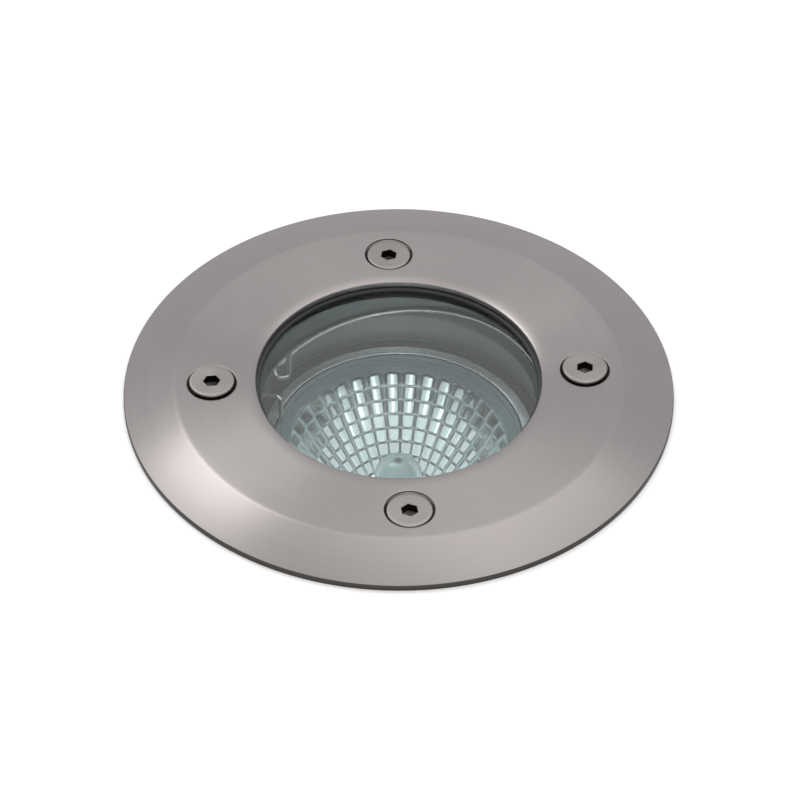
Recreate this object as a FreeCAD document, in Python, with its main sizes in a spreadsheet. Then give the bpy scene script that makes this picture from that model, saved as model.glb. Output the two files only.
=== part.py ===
"""In-ground well light: a stainless trim over a lit well, a die-cast can and a buried ground sleeve.

Everything is in millimetres. The origin is the centre of the sleeve's lower rim and +Z points up.
The trim's four screws lie on the X and Y axes. Each sub-part is modelled about its own datum and
then placed on the light's axis, at a height worked out from the sheet.
"""

import FreeCAD, Part
import math
import os
import Sketcher

DIMENSIONS = [
    ("trim_overlap", 5.0, "how far the trim reaches past the ground sleeve"),
    ("trim_height", 4.0, "top of the trim above the paving"),
    ("trim_edge_height", 1.3, "upright outer edge of the trim"),
    ("bevel_width", 10.0, "outer bevel, from the flat top to the edge of the trim"),
    ("lip_overlap", 3.1, "how far the trim reaches in over the glass"),
    ("lip_roll", 2.6, "width of the lip that rolls down to the opening"),
    ("lip_drop", 0.33, "fall of the rolled lip at the opening"),
    ("lip_thickness", 1.5, "trim metal left over the lens gasket"),
    ("lens_seat_width", 1.5, "how far the toughened glass reaches past the well"),
    ("lens_thickness", 5.0, "thickness of the toughened glass"),
    ("gasket_wall", 1.0, "rubber round the rim of the glass"),
    ("gasket_lip", 0.9, "rubber above and below the glass"),
    ("gasket_reach", 0.8, "how far the rubber shows inside the trim opening"),
    ("slip", 0.2, "radial clearance of parts dropped into a recess"),
    ("fit_gap", 0.1, "clearance of a thread, a press seat or a glued joint"),
    ("edge_break", 0.2, "edges broken on the lathe"),
    ("screw_web", 1.5, "trim metal between the glass rebate and a screw hole"),
    ("head_radius", 4.5, "countersunk screw head"),
    ("head_land", 0.7, "upright rim of the screw head"),
    ("shank_radius", 2.45, "M5 screw shank"),
    ("tapped_radius", 2.5, "M5 tapped hole"),
    ("through_radius", 2.9, "M5 clearance hole"),
    ("socket_width", 3.0, "hexagon socket, across flats"),
    ("socket_depth", 1.9, "depth of the hexagon socket"),
    ("sink_radius", 4.95, "mouth of the countersunk hole"),
    ("sink_land", 0.4, "upright mouth of the countersunk hole"),
    ("trim_screw_length", 18.0, "screws that clamp the trim to the can"),
    ("fixing_screw_length", 42.0, "screws that reach the buried sleeve"),
    ("fixing_screw_proud", 0.7, "fixing screws as left, standing above the trim"),
    ("ground_level", 130.0, "paving above the sleeve's lower rim"),
    ("sleeve_slip", 0.7, "clearance of the can's flange in the sleeve"),
    ("sleeve_wall", 2.5, "wall of the ground sleeve"),
    ("rim_gasket", 1.0, "flat gasket between the trim and the sleeve's rim"),
    ("ledge_width", 4.0, "ledge inside the sleeve that carries the can"),
    ("ledge_height", 4.0, "height of that ledge"),
    ("sleeve_floor", 3.0, "floor of the sleeve"),
    ("drain_opening", 32.0, "radius of the open middle of the sleeve floor"),
    ("drain_hole_radius", 2.5, "small drain hole"),
    ("drain_hole_count", 8, "small drain holes"),
    ("port_width", 20.0, "cable port in the sleeve wall"),
    ("port_height", 14.0, "straight sides of the cable port"),
    ("post_radius", 4.9, "screw post in the sleeve"),
    ("post_length", 20.0, "height of that post"),
    ("post_gap", 1.0, "from the post up to the can's screw lug"),
    ("insert_radius", 3.4, "threaded brass insert"),
    ("insert_length", 12.0, "length of the insert"),
    ("flange_margin", 4.1, "flange of the can outside its screw lugs"),
    ("flange_thickness", 5.0, "thickness of that flange"),
    ("well_margin", 2.6, "well outside the lamp's ring"),
    ("bore_depth", 20.7, "lamp floor below the top of the trim"),
    ("can_wall", 3.0, "cast wall of the can"),
    ("can_depth", 100.0, "can below the paving"),
    ("can_floor", 4.0, "floor of the can"),
    ("can_draft", 0.6, "how much narrower the can is inside at its floor"),
    ("lug_radius", 5.4, "screw lug on the can"),
    ("lug_length", 23.0, "screw lug below the paving"),
    ("fin_count", 12, "cooling fins on the can"),
    ("fin_slip", 1.5, "clearance of the fins in the sleeve's ledge"),
    ("fin_thickness", 2.0, "thickness of a fin"),
    ("fin_slope", 14.0, "height of the sloped lower end of a fin"),
    ("lamp_ring_wall", 2.1, "wall of the ring that centres the lamp"),
    ("ring_ledge", 2.6, "ledge in the can under that ring"),
    ("lamp_ring_rise", 1.0, "ring above the lamp floor"),
    ("lamp_ring_depth", 4.6, "ring let into the lamp floor"),
    ("lamp_ring_base", 1.2, "thickness of the ring under the lamp's rim"),
    ("lamp_rim_seat", 1.4, "how far that base reaches in under the lamp's rim"),
    ("lamp_radius", 25.3, "rim of the reflector lamp"),
    ("lamp_rim_height", 4.2, "height of the lamp's rim"),
    ("lamp_cover_rim", 1.0, "lamp's rim round its front glass"),
    ("lamp_cover_thickness", 1.4, "front glass of the lamp"),
    ("lamp_cover_recess", 0.2, "front glass below the lamp's rim"),
    ("bowl_rim", 1.4, "inner bowl of the reflector, run out, to the edge of the lamp"),
    ("bowl_depth", 20.0, "depth of that bowl on the axis"),
    ("bowl_wall", 1.8, "pressed glass of the reflector"),
    ("facet_columns", 38, "facets round the reflector"),
    ("cover_land", 1.5, "land that the lamp's front glass is glued to"),
    ("mouth_edge", 0.4, "from that land in to the outermost row of facets"),
    ("facet_inner_radius", 7.4, "innermost row of facets"),
    ("facet_rows", 8, "rows of facets from the rim to the neck"),
    ("neck_radius", 5.0, "hole in the reflector for the capsule"),
    ("neck_outer_radius", 7.6, "outside of the reflector's neck"),
    ("lamp_length", 44.6, "lamp from its rim to the end of its base"),
    ("base_width", 14.6, "ceramic base of the lamp"),
    ("base_depth", 10.0, "ceramic base of the lamp"),
    ("base_height", 14.0, "ceramic base of the lamp"),
    ("pin_radius", 0.75, "lamp pin"),
    ("pin_spacing", 5.33, "distance between the lamp's two pins"),
    ("pin_length", 7.0, "lamp pin below the base"),
    ("capsule_radius", 4.6, "quartz capsule"),
    ("capsule_length", 22.5, "quartz capsule above the base"),
    ("capsule_wall", 0.9, "quartz capsule"),
    ("filament_height", 17.5, "lamp filament above the base"),
    ("filament_radius", 0.9, "coiled filament, outside"),
    ("filament_length", 4.6, "coiled filament"),
    ("ceramic_corner", 1.2, "corners cut off the lamp's base and its holder"),
    ("screw_gap", 0.2, "clearance of a small screw, a pin or a tube in its hole"),
    ("holder_gap", 0.4, "air between the lamp's base and its holder"),
    ("holder_width", 19.0, "ceramic lampholder"),
    ("holder_depth", 11.0, "ceramic lampholder"),
    ("holder_height", 11.0, "ceramic lampholder"),
    ("lead_radius", 1.1, "insulated lamp lead"),
    ("lead_spacing", 8.0, "distance between the two leads"),
    ("lead_bend", 6.0, "bend radius of a lead"),
    ("block_width", 24.0, "terminal block"),
    ("block_depth", 11.5, "terminal block"),
    ("block_height", 13.0, "terminal block"),
    ("block_offset", 14.6, "terminal block off the light's axis"),
    ("terminal_radius", 2.6, "brass terminal tube"),
    ("terminal_screw_radius", 1.5, "terminal screw"),
    ("block_screw_radius", 1.45, "screw that holds the block down"),
    ("block_screw_depth", 2.5, "that screw's hole in the can's floor"),
    ("gland_thread_radius", 7.9, "M16 thread of the cable gland"),
    ("gland_bore", 5.6, "way for the cable through the gland"),
    ("gland_flats", 20.0, "hexagons of the gland, across flats"),
    ("gland_hex_height", 5.0, "hexagon of the gland body"),
    ("gland_washer", 1.2, "sealing washer under the gland"),
    ("gland_spigot", 9.0, "thread above the gland's washer"),
    ("gland_barrel_radius", 8.3, "barrel that the dome nut closes on"),
    ("gland_barrel", 8.0, "length of that barrel"),
    ("seal_radius", 6.6, "outside of the gland's rubber seal"),
    ("cable_radius", 4.0, "hole in the rubber seal, for an 8 mm cable"),
    ("seal_length", 7.2, "length of the rubber seal"),
    ("dome_nut_length", 11.0, "length of the gland's dome nut"),
    ("wire_radius", 0.55, "spring wire of the lamp clip"),
    ("clip_gap", 0.15, "from the wire to the wall of the well and to what it rests on"),
    ("clip_middle_depth", 11.8, "middle of the clip below the top of the trim"),
    ("clip_slant", 3.6, "rise of the clip at its right side over its middle"),
    ("clip_bend", 1.0, "tightest bend of the clip's wire"),
    ("clip_eye_angle", 138.5, "where the finger eye starts, in degrees round the well"),
    ("clip_eye_lead", 2.2, "straight wire from the ring into the finger eye"),
    ("clip_eye_length", 4.7, "finger eye of the clip, along the wire"),
    ("clip_eye_drop", 1.3, "far corner of the finger eye below the wire"),
    ("clip_tail_rise", 1.6, "straight end of the finger eye above the wire"),
    ("clip_leg_angle", 166.0, "where the ring's other end leaves the wall, in degrees"),
    ("clip_leg_lead", 2.4, "straight wire from the ring into the leg"),
    ("clip_foot_angle", 161.0, "where the leg stands on the lamp's rim, in degrees"),
]
COLUMNS = {"name": "A", "number": "B", "note": "C"}

doc = FreeCAD.newDocument("WellLight")


class Size:
    """A size worked out from the sheet: its number now, and the formula that keeps it bound."""

    def __init__(self, number, formula):
        self.number = number
        self.formula = formula

    def combine(self, other, sign, number, swapped=False):
        mine, theirs = self.formula, size(other).formula
        if swapped:
            mine, theirs = theirs, mine
        return Size(number, f"({mine} {sign} {theirs})")

    def __add__(self, other):
        return self.combine(other, "+", self.number + size(other).number)

    def __sub__(self, other):
        return self.combine(other, "-", self.number - size(other).number)

    def __mul__(self, other):
        return self.combine(other, "*", self.number * size(other).number)

    def __truediv__(self, other):
        return self.combine(other, "/", self.number / size(other).number)

    def __rsub__(self, other):
        return self.combine(other, "-", size(other).number - self.number, swapped=True)

    def __neg__(self):
        return 0 - self

    __radd__ = __add__
    __rmul__ = __mul__


def size(value):
    """A plain number as a Size; a Size as it is."""
    return value if isinstance(value, Size) else Size(value, repr(value))


class Sheet:
    """The spreadsheet of driving dimensions; each alias reads as an attribute of the same name."""

    def __init__(self, rows):
        self.cells = doc.addObject("Spreadsheet::Sheet", "Sizes")
        for row, (alias, number, note) in enumerate(rows, start=1):
            self.cells.set(f"{COLUMNS['name']}{row}", alias)
            self.cells.set(f"{COLUMNS['number']}{row}", str(number))
            self.cells.set(f"{COLUMNS['note']}{row}", note)
            self.cells.setAlias(f"{COLUMNS['number']}{row}", alias)
            setattr(self, alias, Size(number, f"Sizes.{alias}"))


s = Sheet(DIMENSIONS)
doc.recompute()

# Radii from the lamp outwards: each piece is sized by what it holds or goes round.
lamp_ring_radius = s.lamp_radius + s.slip + s.lamp_ring_wall
lamp_ring_bore = s.lamp_radius - s.lamp_rim_seat
lamp_cover_radius = s.lamp_radius - s.lamp_cover_rim
bowl_radius = s.lamp_radius - s.bowl_rim
facet_mouth = lamp_cover_radius + s.fit_gap - s.cover_land
facet_outer_radius = facet_mouth - s.mouth_edge
bore_radius = lamp_ring_radius + s.well_margin
clip_radius = bore_radius - s.wire_radius - s.clip_gap
lens_radius = bore_radius + s.lens_seat_width
opening_radius = lens_radius - s.lip_overlap
lip_outer_radius = opening_radius + s.lip_roll
rebate_radius = lens_radius + s.gasket_wall + s.slip
screw_circle = rebate_radius + s.screw_web + s.through_radius
can_bore = lamp_ring_radius - s.ring_ledge
can_radius = can_bore + s.can_wall
flange_radius = screw_circle + s.lug_radius + s.flange_margin
sleeve_bore = flange_radius + s.sleeve_slip
sleeve_radius = sleeve_bore + s.sleeve_wall
ledge_bore = sleeve_bore - s.ledge_width
fin_radius = ledge_bore - s.fin_slip
drain_hole_circle = (s.drain_opening + sleeve_bore) / 2
trim_radius = sleeve_radius + s.trim_overlap
bevel_inner_radius = trim_radius - s.bevel_width

# Heights, from the top of the trim down.
trim_top = s.ground_level + s.trim_height
screw_sink = s.sink_land + s.sink_radius - s.head_radius - s.head_land
gasket_top = trim_top - s.lip_thickness
lens_top = gasket_top - s.gasket_lip
lens_base = lens_top - s.lens_thickness
lens_seat = lens_base - s.gasket_lip
lamp_floor = trim_top - s.bore_depth
ring_top = lamp_floor + s.lamp_ring_rise
ring_seat = lamp_floor - s.lamp_ring_depth
lamp_seat = ring_seat + s.lamp_ring_base
lamp_face = lamp_seat + s.lamp_rim_height
cover_base = lamp_face - s.lamp_cover_recess - s.lamp_cover_thickness
bowl_floor = ring_top - s.bowl_depth
lamp_end = lamp_face - s.lamp_length
base_top = lamp_end + s.base_height
holder_top = lamp_end - s.holder_gap
holder_base = holder_top - s.holder_height
ledge_top = s.ground_level - s.flange_thickness
post_top = s.ground_level - s.lug_length - s.post_gap
can_base = s.ground_level - s.can_depth
can_floor_top = can_base + s.can_floor
lead_entry = can_floor_top + s.block_height * 0.6
washer_base = can_base - s.gland_washer
hex_base = washer_base - s.gland_hex_height
barrel_base = hex_base - s.gland_barrel


def bind(item, prop, value):
    """Ties a property of an object to the sheet."""
    item.setExpression(prop, size(value).formula)


def body(label, height=0):
    """A new body on the light's axis, with its datum at the height given."""
    made = doc.addObject("PartDesign::Body", "Body_" + label)
    made.Label = label
    bind(made, "Placement.Base.z", height)
    return made


def origin_feature(made, role):
    """The plane or axis of a body's own origin."""
    return next(part for part in made.Origin.OriginFeatures if part.Role == role)


def empty_sketch(made, name, role, shift=(0, 0, 0), turn=None):
    """A sketch on one of the body's origin planes, moved by bound distances in the sketch's frame."""
    sketch = made.newObject("Sketcher::SketchObject", name)
    sketch.AttachmentSupport = [(origin_feature(made, role), "")]
    sketch.MapMode = "FlatFace"
    if turn:
        sketch.AttachmentOffset = FreeCAD.Placement(FreeCAD.Vector(), turn)
    for axis, distance in zip("xyz", shift):
        if size(distance).number:
            bind(sketch, f"AttachmentOffset.Base.{axis}", distance)
    return sketch


def hold(sketch, kind, geometry, vertex, distance):
    """Holds a point at a bound distance from the sketch's origin."""
    axis = {"DistanceX": -2, "DistanceY": -1}[kind]
    if size(distance).formula in ("0", "0.0"):
        sketch.addConstraint(Sketcher.Constraint("PointOnObject", geometry, vertex, axis))
        return
    number = size(distance).number
    index = sketch.addConstraint(Sketcher.Constraint(kind, -1, 1, geometry, vertex, number))
    bind(sketch, f"Constraints[{index}]", distance)


def outline(sketch, corners):
    """Draws a closed outline of straight lines through corners held by bound distances."""
    points = [FreeCAD.Vector(size(x).number, size(y).number, 0) for x, y in corners]
    first = sketch.GeometryCount
    count = len(points)
    for step in range(count):
        sketch.addGeometry(Part.LineSegment(points[step], points[(step + 1) % count]), False)
    for step in range(count):
        following = first + (step + 1) % count
        sketch.addConstraint(Sketcher.Constraint("Coincident", first + step, 2, following, 1))
    for step, (x, y) in enumerate(corners):
        hold(sketch, "DistanceX", first + step, 1, x)
        hold(sketch, "DistanceY", first + step, 1, y)


def circle(sketch, x, y, radius):
    """Draws a circle whose centre and radius are bound."""
    centre = FreeCAD.Vector(size(x).number, size(y).number, 0)
    drawn = Part.Circle(centre, FreeCAD.Vector(0, 0, 1), size(radius).number)
    index = sketch.addGeometry(drawn, False)
    hold(sketch, "DistanceX", index, 3, x)
    hold(sketch, "DistanceY", index, 3, y)
    ring = sketch.addConstraint(Sketcher.Constraint("Radius", index, size(radius).number))
    bind(sketch, f"Constraints[{ring}]", radius)


def box_corners(width, depth, x=0, y=0):
    """Corners of a rectangle centred on a point."""
    half_width, half_depth = size(width) / 2, size(depth) / 2
    left, right = x - half_width, x + half_width
    near, far = y - half_depth, y + half_depth
    return [(left, near), (right, near), (right, far), (left, far)]


def eased_corners(width, depth, cut):
    """Corners of a box as box_corners gives them, each cut off by `cut`."""
    x, y = width / 2, depth / 2
    return [
        (-x, cut - y), (cut - x, -y), (x - cut, -y), (x, cut - y),
        (x, y - cut), (x - cut, y), (cut - x, y), (-x, y - cut),
    ]


def hexagon_corners(flats):
    """Corners of a hexagon of that width across flats, with two corners on the Y axis."""
    side = flats / math.sqrt(3)
    half = flats / 2
    return [
        (half, side / 2),
        (size(0), side),
        (-half, side / 2),
        (-half, -(side / 2)),
        (size(0), -side),
        (half, -(side / 2)),
    ]


def turned(made, name, corners, cut=False, shift=(0, 0, 0)):
    """Turns a profile of (radius, height) corners about the upright axis of its sketch."""
    sketch = empty_sketch(made, name + "_profile", "XZ_Plane", shift)
    outline(sketch, corners)
    kind = "PartDesign::Groove" if cut else "PartDesign::Revolution"
    feature = made.newObject(kind, name)
    feature.Profile = sketch
    feature.ReferenceAxis = (sketch, ["V_Axis"])
    feature.Angle = 360
    return feature


def prism(made, name, draw, height, length, cut=False, upwards=True):
    """Pads, or pockets, what draw puts in a sketch at a height above the body's datum."""
    sketch = empty_sketch(made, name + "_outline", "XY_Plane", (0, 0, height))
    draw(sketch)
    feature = made.newObject("PartDesign::Pocket" if cut else "PartDesign::Pad", name)
    feature.Profile = sketch
    feature.Type = "Length"
    bind(feature, "Length", length)
    feature.Reversed = upwards if cut else not upwards
    return feature


def round_pattern(made, name, feature, count):
    """Repeats a feature round the upright axis."""
    pattern = made.newObject("PartDesign::PolarPattern", name)
    pattern.Originals = [feature]
    pattern.Axis = (origin_feature(made, "Z_Axis"), [""])
    pattern.Angle = 360
    if isinstance(count, Size):
        bind(pattern, "Occurrences", count)
    else:
        pattern.Occurrences = count
    made.Tip = pattern
    return pattern


def annulus(made, name, inner, outer, low, high):
    """A plain turned ring between two radii and two heights."""
    return turned(made, name, [(inner, low), (outer, low), (outer, high), (inner, high)])


def pair(label, source, places):
    """One sub-part made of like, separate solids: linked copies of a body at bound places."""
    copies = []
    for number, place in enumerate(places, start=1):
        copy = doc.addObject("App::Link", f"{label}_{number}")
        copy.LinkedObject = source
        for axis, distance in zip("xyz", place):
            bind(copy, f"Placement.Base.{axis}", distance)
        copies.append(copy)
    group = doc.addObject("Part::Compound", "Pair_" + label)
    group.Links = copies
    group.Label = label
    return group


# ---------------------------------------------------------------- trim, lens and screws


def make_trim_ring():
    """Turned stainless ring: bevelled rim, flat top, rolled lip and four countersunk holes."""
    ring = body("trim_ring", s.ground_level)
    lip_under = s.trim_height - s.lip_thickness
    corners = [
        (rebate_radius, 0),
        (trim_radius - s.edge_break, 0),
        (trim_radius, s.edge_break),
        (trim_radius, s.trim_edge_height),
        (bevel_inner_radius, s.trim_height),
        (lip_outer_radius, s.trim_height),
        ((lip_outer_radius + opening_radius * 2) / 3, s.trim_height - s.lip_drop / 3),
        (opening_radius, s.trim_height - s.lip_drop),
        (opening_radius, lip_under),
        (rebate_radius, lip_under),
    ]
    turned(ring, "Ring", corners)
    mouth = s.trim_height - s.sink_land
    throat = mouth - (s.sink_radius - s.through_radius)
    hole = [
        (0, s.trim_height + 1),
        (s.sink_radius, s.trim_height + 1),
        (s.sink_radius, mouth),
        (s.through_radius, throat),
        (s.through_radius, -1),
        (0, -1),
    ]
    countersink = turned(ring, "Countersink", hole, cut=True, shift=(screw_circle, 0, 0))
    round_pattern(ring, "Countersinks", countersink, 4)
    return ring


def make_lens():
    """Disc of toughened glass with its edges ground off."""
    grind = 0.5
    lens = body("lens_glass", lens_base)
    corners = [
        (0, 0),
        (lens_radius - grind, 0),
        (lens_radius, grind),
        (lens_radius, s.lens_thickness - grind),
        (lens_radius - grind, s.lens_thickness),
        (0, s.lens_thickness),
    ]
    turned(lens, "Disc", corners)
    return lens


def make_lens_gasket():
    """Rubber channel that wraps the rim of the glass."""
    gasket = body("lens_gasket", lens_seat)
    height = s.lens_thickness + 2 * s.gasket_lip
    outer = lens_radius + s.gasket_wall
    corners = [
        (bore_radius + s.slip, 0),
        (outer, 0),
        (outer, height),
        (opening_radius - s.gasket_reach, height),
        (opening_radius - s.gasket_reach, height - s.gasket_lip),
        (lens_radius, height - s.gasket_lip),
        (lens_radius, s.gasket_lip),
        (bore_radius + s.slip, s.gasket_lip),
    ]
    turned(gasket, "Channel", corners)
    return gasket


def make_screw(name, length):
    """Countersunk hexagon-socket screw, hanging down from the top of its head."""
    screw = body(name)
    under_head = s.head_land + s.head_radius - s.shank_radius
    point = s.shank_radius * 0.3
    corners = [
        (0, 0),
        (s.head_radius - s.edge_break, 0),
        (s.head_radius, -s.edge_break),
        (s.head_radius, -s.head_land),
        (s.shank_radius, -under_head),
        (s.shank_radius, point - length),
        (s.shank_radius - point, -length),
        (0, -length),
    ]
    turned(screw, "Blank", corners)
    prism(
        screw,
        "Socket",
        lambda sketch: outline(sketch, hexagon_corners(s.socket_width)),
        0,
        s.socket_depth,
        cut=True,
        upwards=False,
    )
    return screw


def make_screws():
    """Two screws that clamp the trim, front and back, and two that reach the sleeve, left and right."""
    seated = trim_top - screw_sink
    backed_out = trim_top + s.fixing_screw_proud
    short = make_screw("short_screw_form", s.trim_screw_length)
    long = make_screw("long_screw_form", s.fixing_screw_length)
    trim_screws = pair(
        "trim_screws", short, [(0, -screw_circle, seated), (0, screw_circle, seated)]
    )
    fixing_screws = pair(
        "fixing_screws",
        long,
        [(-screw_circle, 0, backed_out), (screw_circle, 0, backed_out)],
    )
    return [trim_screws, fixing_screws]


# ---------------------------------------------------------------- ground sleeve


def make_sleeve():
    """Moulded pot: plain wall, ledge for the can, screw posts, cable ports and a drained floor."""
    sleeve = body("ground_sleeve")
    rim = s.ground_level - s.rim_gasket
    wall = [
        (s.drain_opening, 0),
        (sleeve_radius, 0),
        (sleeve_radius, rim),
        (sleeve_bore, rim),
        (sleeve_bore, ledge_top),
        (ledge_bore, ledge_top),
        (ledge_bore, ledge_top - s.ledge_height),
        (sleeve_bore, ledge_top - s.ledge_height - s.ledge_width),
        (sleeve_bore, s.sleeve_floor),
        (s.drain_opening, s.sleeve_floor),
    ]
    turned(sleeve, "Wall", wall)

    def draw_post(sketch):
        """A round post with a web out to the wall."""
        post, web = s.post_radius, s.post_radius * 0.6
        reach = sleeve_bore + s.sleeve_wall / 2
        left, right = screw_circle - post, screw_circle + post
        centre = FreeCAD.Vector(screw_circle.number, 0, 0)
        start = math.atan2(web.number, math.sqrt(post.number**2 - web.number**2))
        arc = Part.ArcOfCircle(
            Part.Circle(centre, FreeCAD.Vector(0, 0, 1), post.number), start, 2 * math.pi - start
        )
        top = FreeCAD.Vector(right.number, web.number, 0)
        far = FreeCAD.Vector(reach.number, web.number, 0)
        sketch.addGeometry(arc, False)
        edge = arc.StartPoint
        sketch.addGeometry(Part.LineSegment(edge, FreeCAD.Vector(far.x, far.y, 0)), False)
        sketch.addGeometry(Part.LineSegment(far, FreeCAD.Vector(far.x, -far.y, 0)), False)
        sketch.addGeometry(
            Part.LineSegment(FreeCAD.Vector(far.x, -far.y, 0), arc.EndPoint), False
        )
        for one, end, two, start_of in ((0, 1, 1, 1), (1, 2, 2, 1), (2, 2, 3, 1), (3, 2, 0, 2)):
            sketch.addConstraint(Sketcher.Constraint("Coincident", one, end, two, start_of))
        sketch.addConstraint(Sketcher.Constraint("Horizontal", 1))
        sketch.addConstraint(Sketcher.Constraint("Vertical", 2))
        sketch.addConstraint(Sketcher.Constraint("Horizontal", 3))
        hold(sketch, "DistanceX", 0, 3, screw_circle)
        hold(sketch, "DistanceY", 0, 3, 0)
        hold(sketch, "DistanceX", 1, 2, reach)
        hold(sketch, "DistanceY", 1, 2, web)
        hold(sketch, "DistanceY", 2, 2, -web)
        ring = sketch.addConstraint(Sketcher.Constraint("Radius", 0, post.number))
        bind(sketch, f"Constraints[{ring}]", post)

    post = prism(sleeve, "Post", draw_post, post_top - s.post_length, s.post_length)
    round_pattern(sleeve, "Posts", post, 2)
    socket = [
        (0, post_top + 1),
        (s.insert_radius, post_top + 1),
        (s.insert_radius, post_top - s.insert_length),
        (s.tapped_radius, post_top - s.insert_length),
        (s.tapped_radius, post_top - s.post_length - 1),
        (0, post_top - s.post_length - 1),
    ]
    hole = turned(sleeve, "InsertHole", socket, cut=True, shift=(screw_circle, 0, 0))
    round_pattern(sleeve, "InsertHoles", hole, 2)
    drain = prism(
        sleeve,
        "DrainHole",
        lambda sketch: circle(sketch, drain_hole_circle, 0, s.drain_hole_radius),
        -1,
        s.sleeve_floor + 2,
        cut=True,
    )
    round_pattern(sleeve, "DrainHoles", drain, s.drain_hole_count)

    half = s.port_width / 2
    sketch = empty_sketch(sleeve, "Port_outline", "XZ_Plane")
    half_width, height = half.number, s.port_height.number
    low = FreeCAD.Vector(-half_width, -1, 0)
    spring = FreeCAD.Vector(-half_width, height, 0)
    right_low = FreeCAD.Vector(half_width, -1, 0)
    right_spring = FreeCAD.Vector(half_width, height, 0)
    top_centre = FreeCAD.Vector(0, height, 0)
    centre = Part.Circle(top_centre, FreeCAD.Vector(0, 0, 1), half_width)
    sketch.addGeometry(Part.LineSegment(low, right_low), False)
    sketch.addGeometry(Part.LineSegment(right_low, right_spring), False)
    sketch.addGeometry(Part.ArcOfCircle(centre, 0, math.pi), False)
    sketch.addGeometry(Part.LineSegment(spring, low), False)
    for one, end, two, start_of in ((0, 2, 1, 1), (1, 2, 2, 1), (2, 2, 3, 1), (3, 2, 0, 1)):
        sketch.addConstraint(Sketcher.Constraint("Coincident", one, end, two, start_of))
    hold(sketch, "DistanceX", 0, 1, -half)
    hold(sketch, "DistanceY", 0, 1, size(-1))
    hold(sketch, "DistanceX", 0, 2, half)
    hold(sketch, "DistanceY", 0, 2, size(-1))
    hold(sketch, "DistanceX", 1, 2, half)
    hold(sketch, "DistanceY", 1, 2, s.port_height)
    hold(sketch, "DistanceX", 2, 3, 0)
    hold(sketch, "DistanceY", 2, 3, s.port_height)
    hold(sketch, "DistanceY", 3, 1, s.port_height)
    ports = sleeve.newObject("PartDesign::Pocket", "Ports")
    ports.Profile = sketch
    ports.Type = "Length"
    ports.SideType = "Symmetric"
    bind(ports, "Length", 2 * (sleeve_radius + 1))
    return sleeve


def make_sleeve_inserts():
    """Knurled brass inserts moulded into the sleeve's two screw posts."""
    form = body("insert_form")
    groove, depth = s.insert_length / 3, 0.4
    corners = [
        (s.tapped_radius, 0),
        (s.insert_radius, 0),
        (s.insert_radius, groove),
        (s.insert_radius - depth, groove),
        (s.insert_radius - depth, groove * 2),
        (s.insert_radius, groove * 2),
        (s.insert_radius, s.insert_length),
        (s.tapped_radius, s.insert_length),
    ]
    turned(form, "Barrel", corners)
    base = post_top - s.insert_length
    return pair(
        "sleeve_inserts", form, [(-screw_circle, 0, base), (screw_circle, 0, base)]
    )


def make_rim_gasket():
    """Flat rubber ring between the sleeve's rim and the trim."""
    gasket = body("rim_gasket", s.ground_level - s.rim_gasket)
    annulus(gasket, "Ring", sleeve_bore + s.slip, sleeve_radius, 0, s.rim_gasket)
    return gasket


# ---------------------------------------------------------------- can


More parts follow.
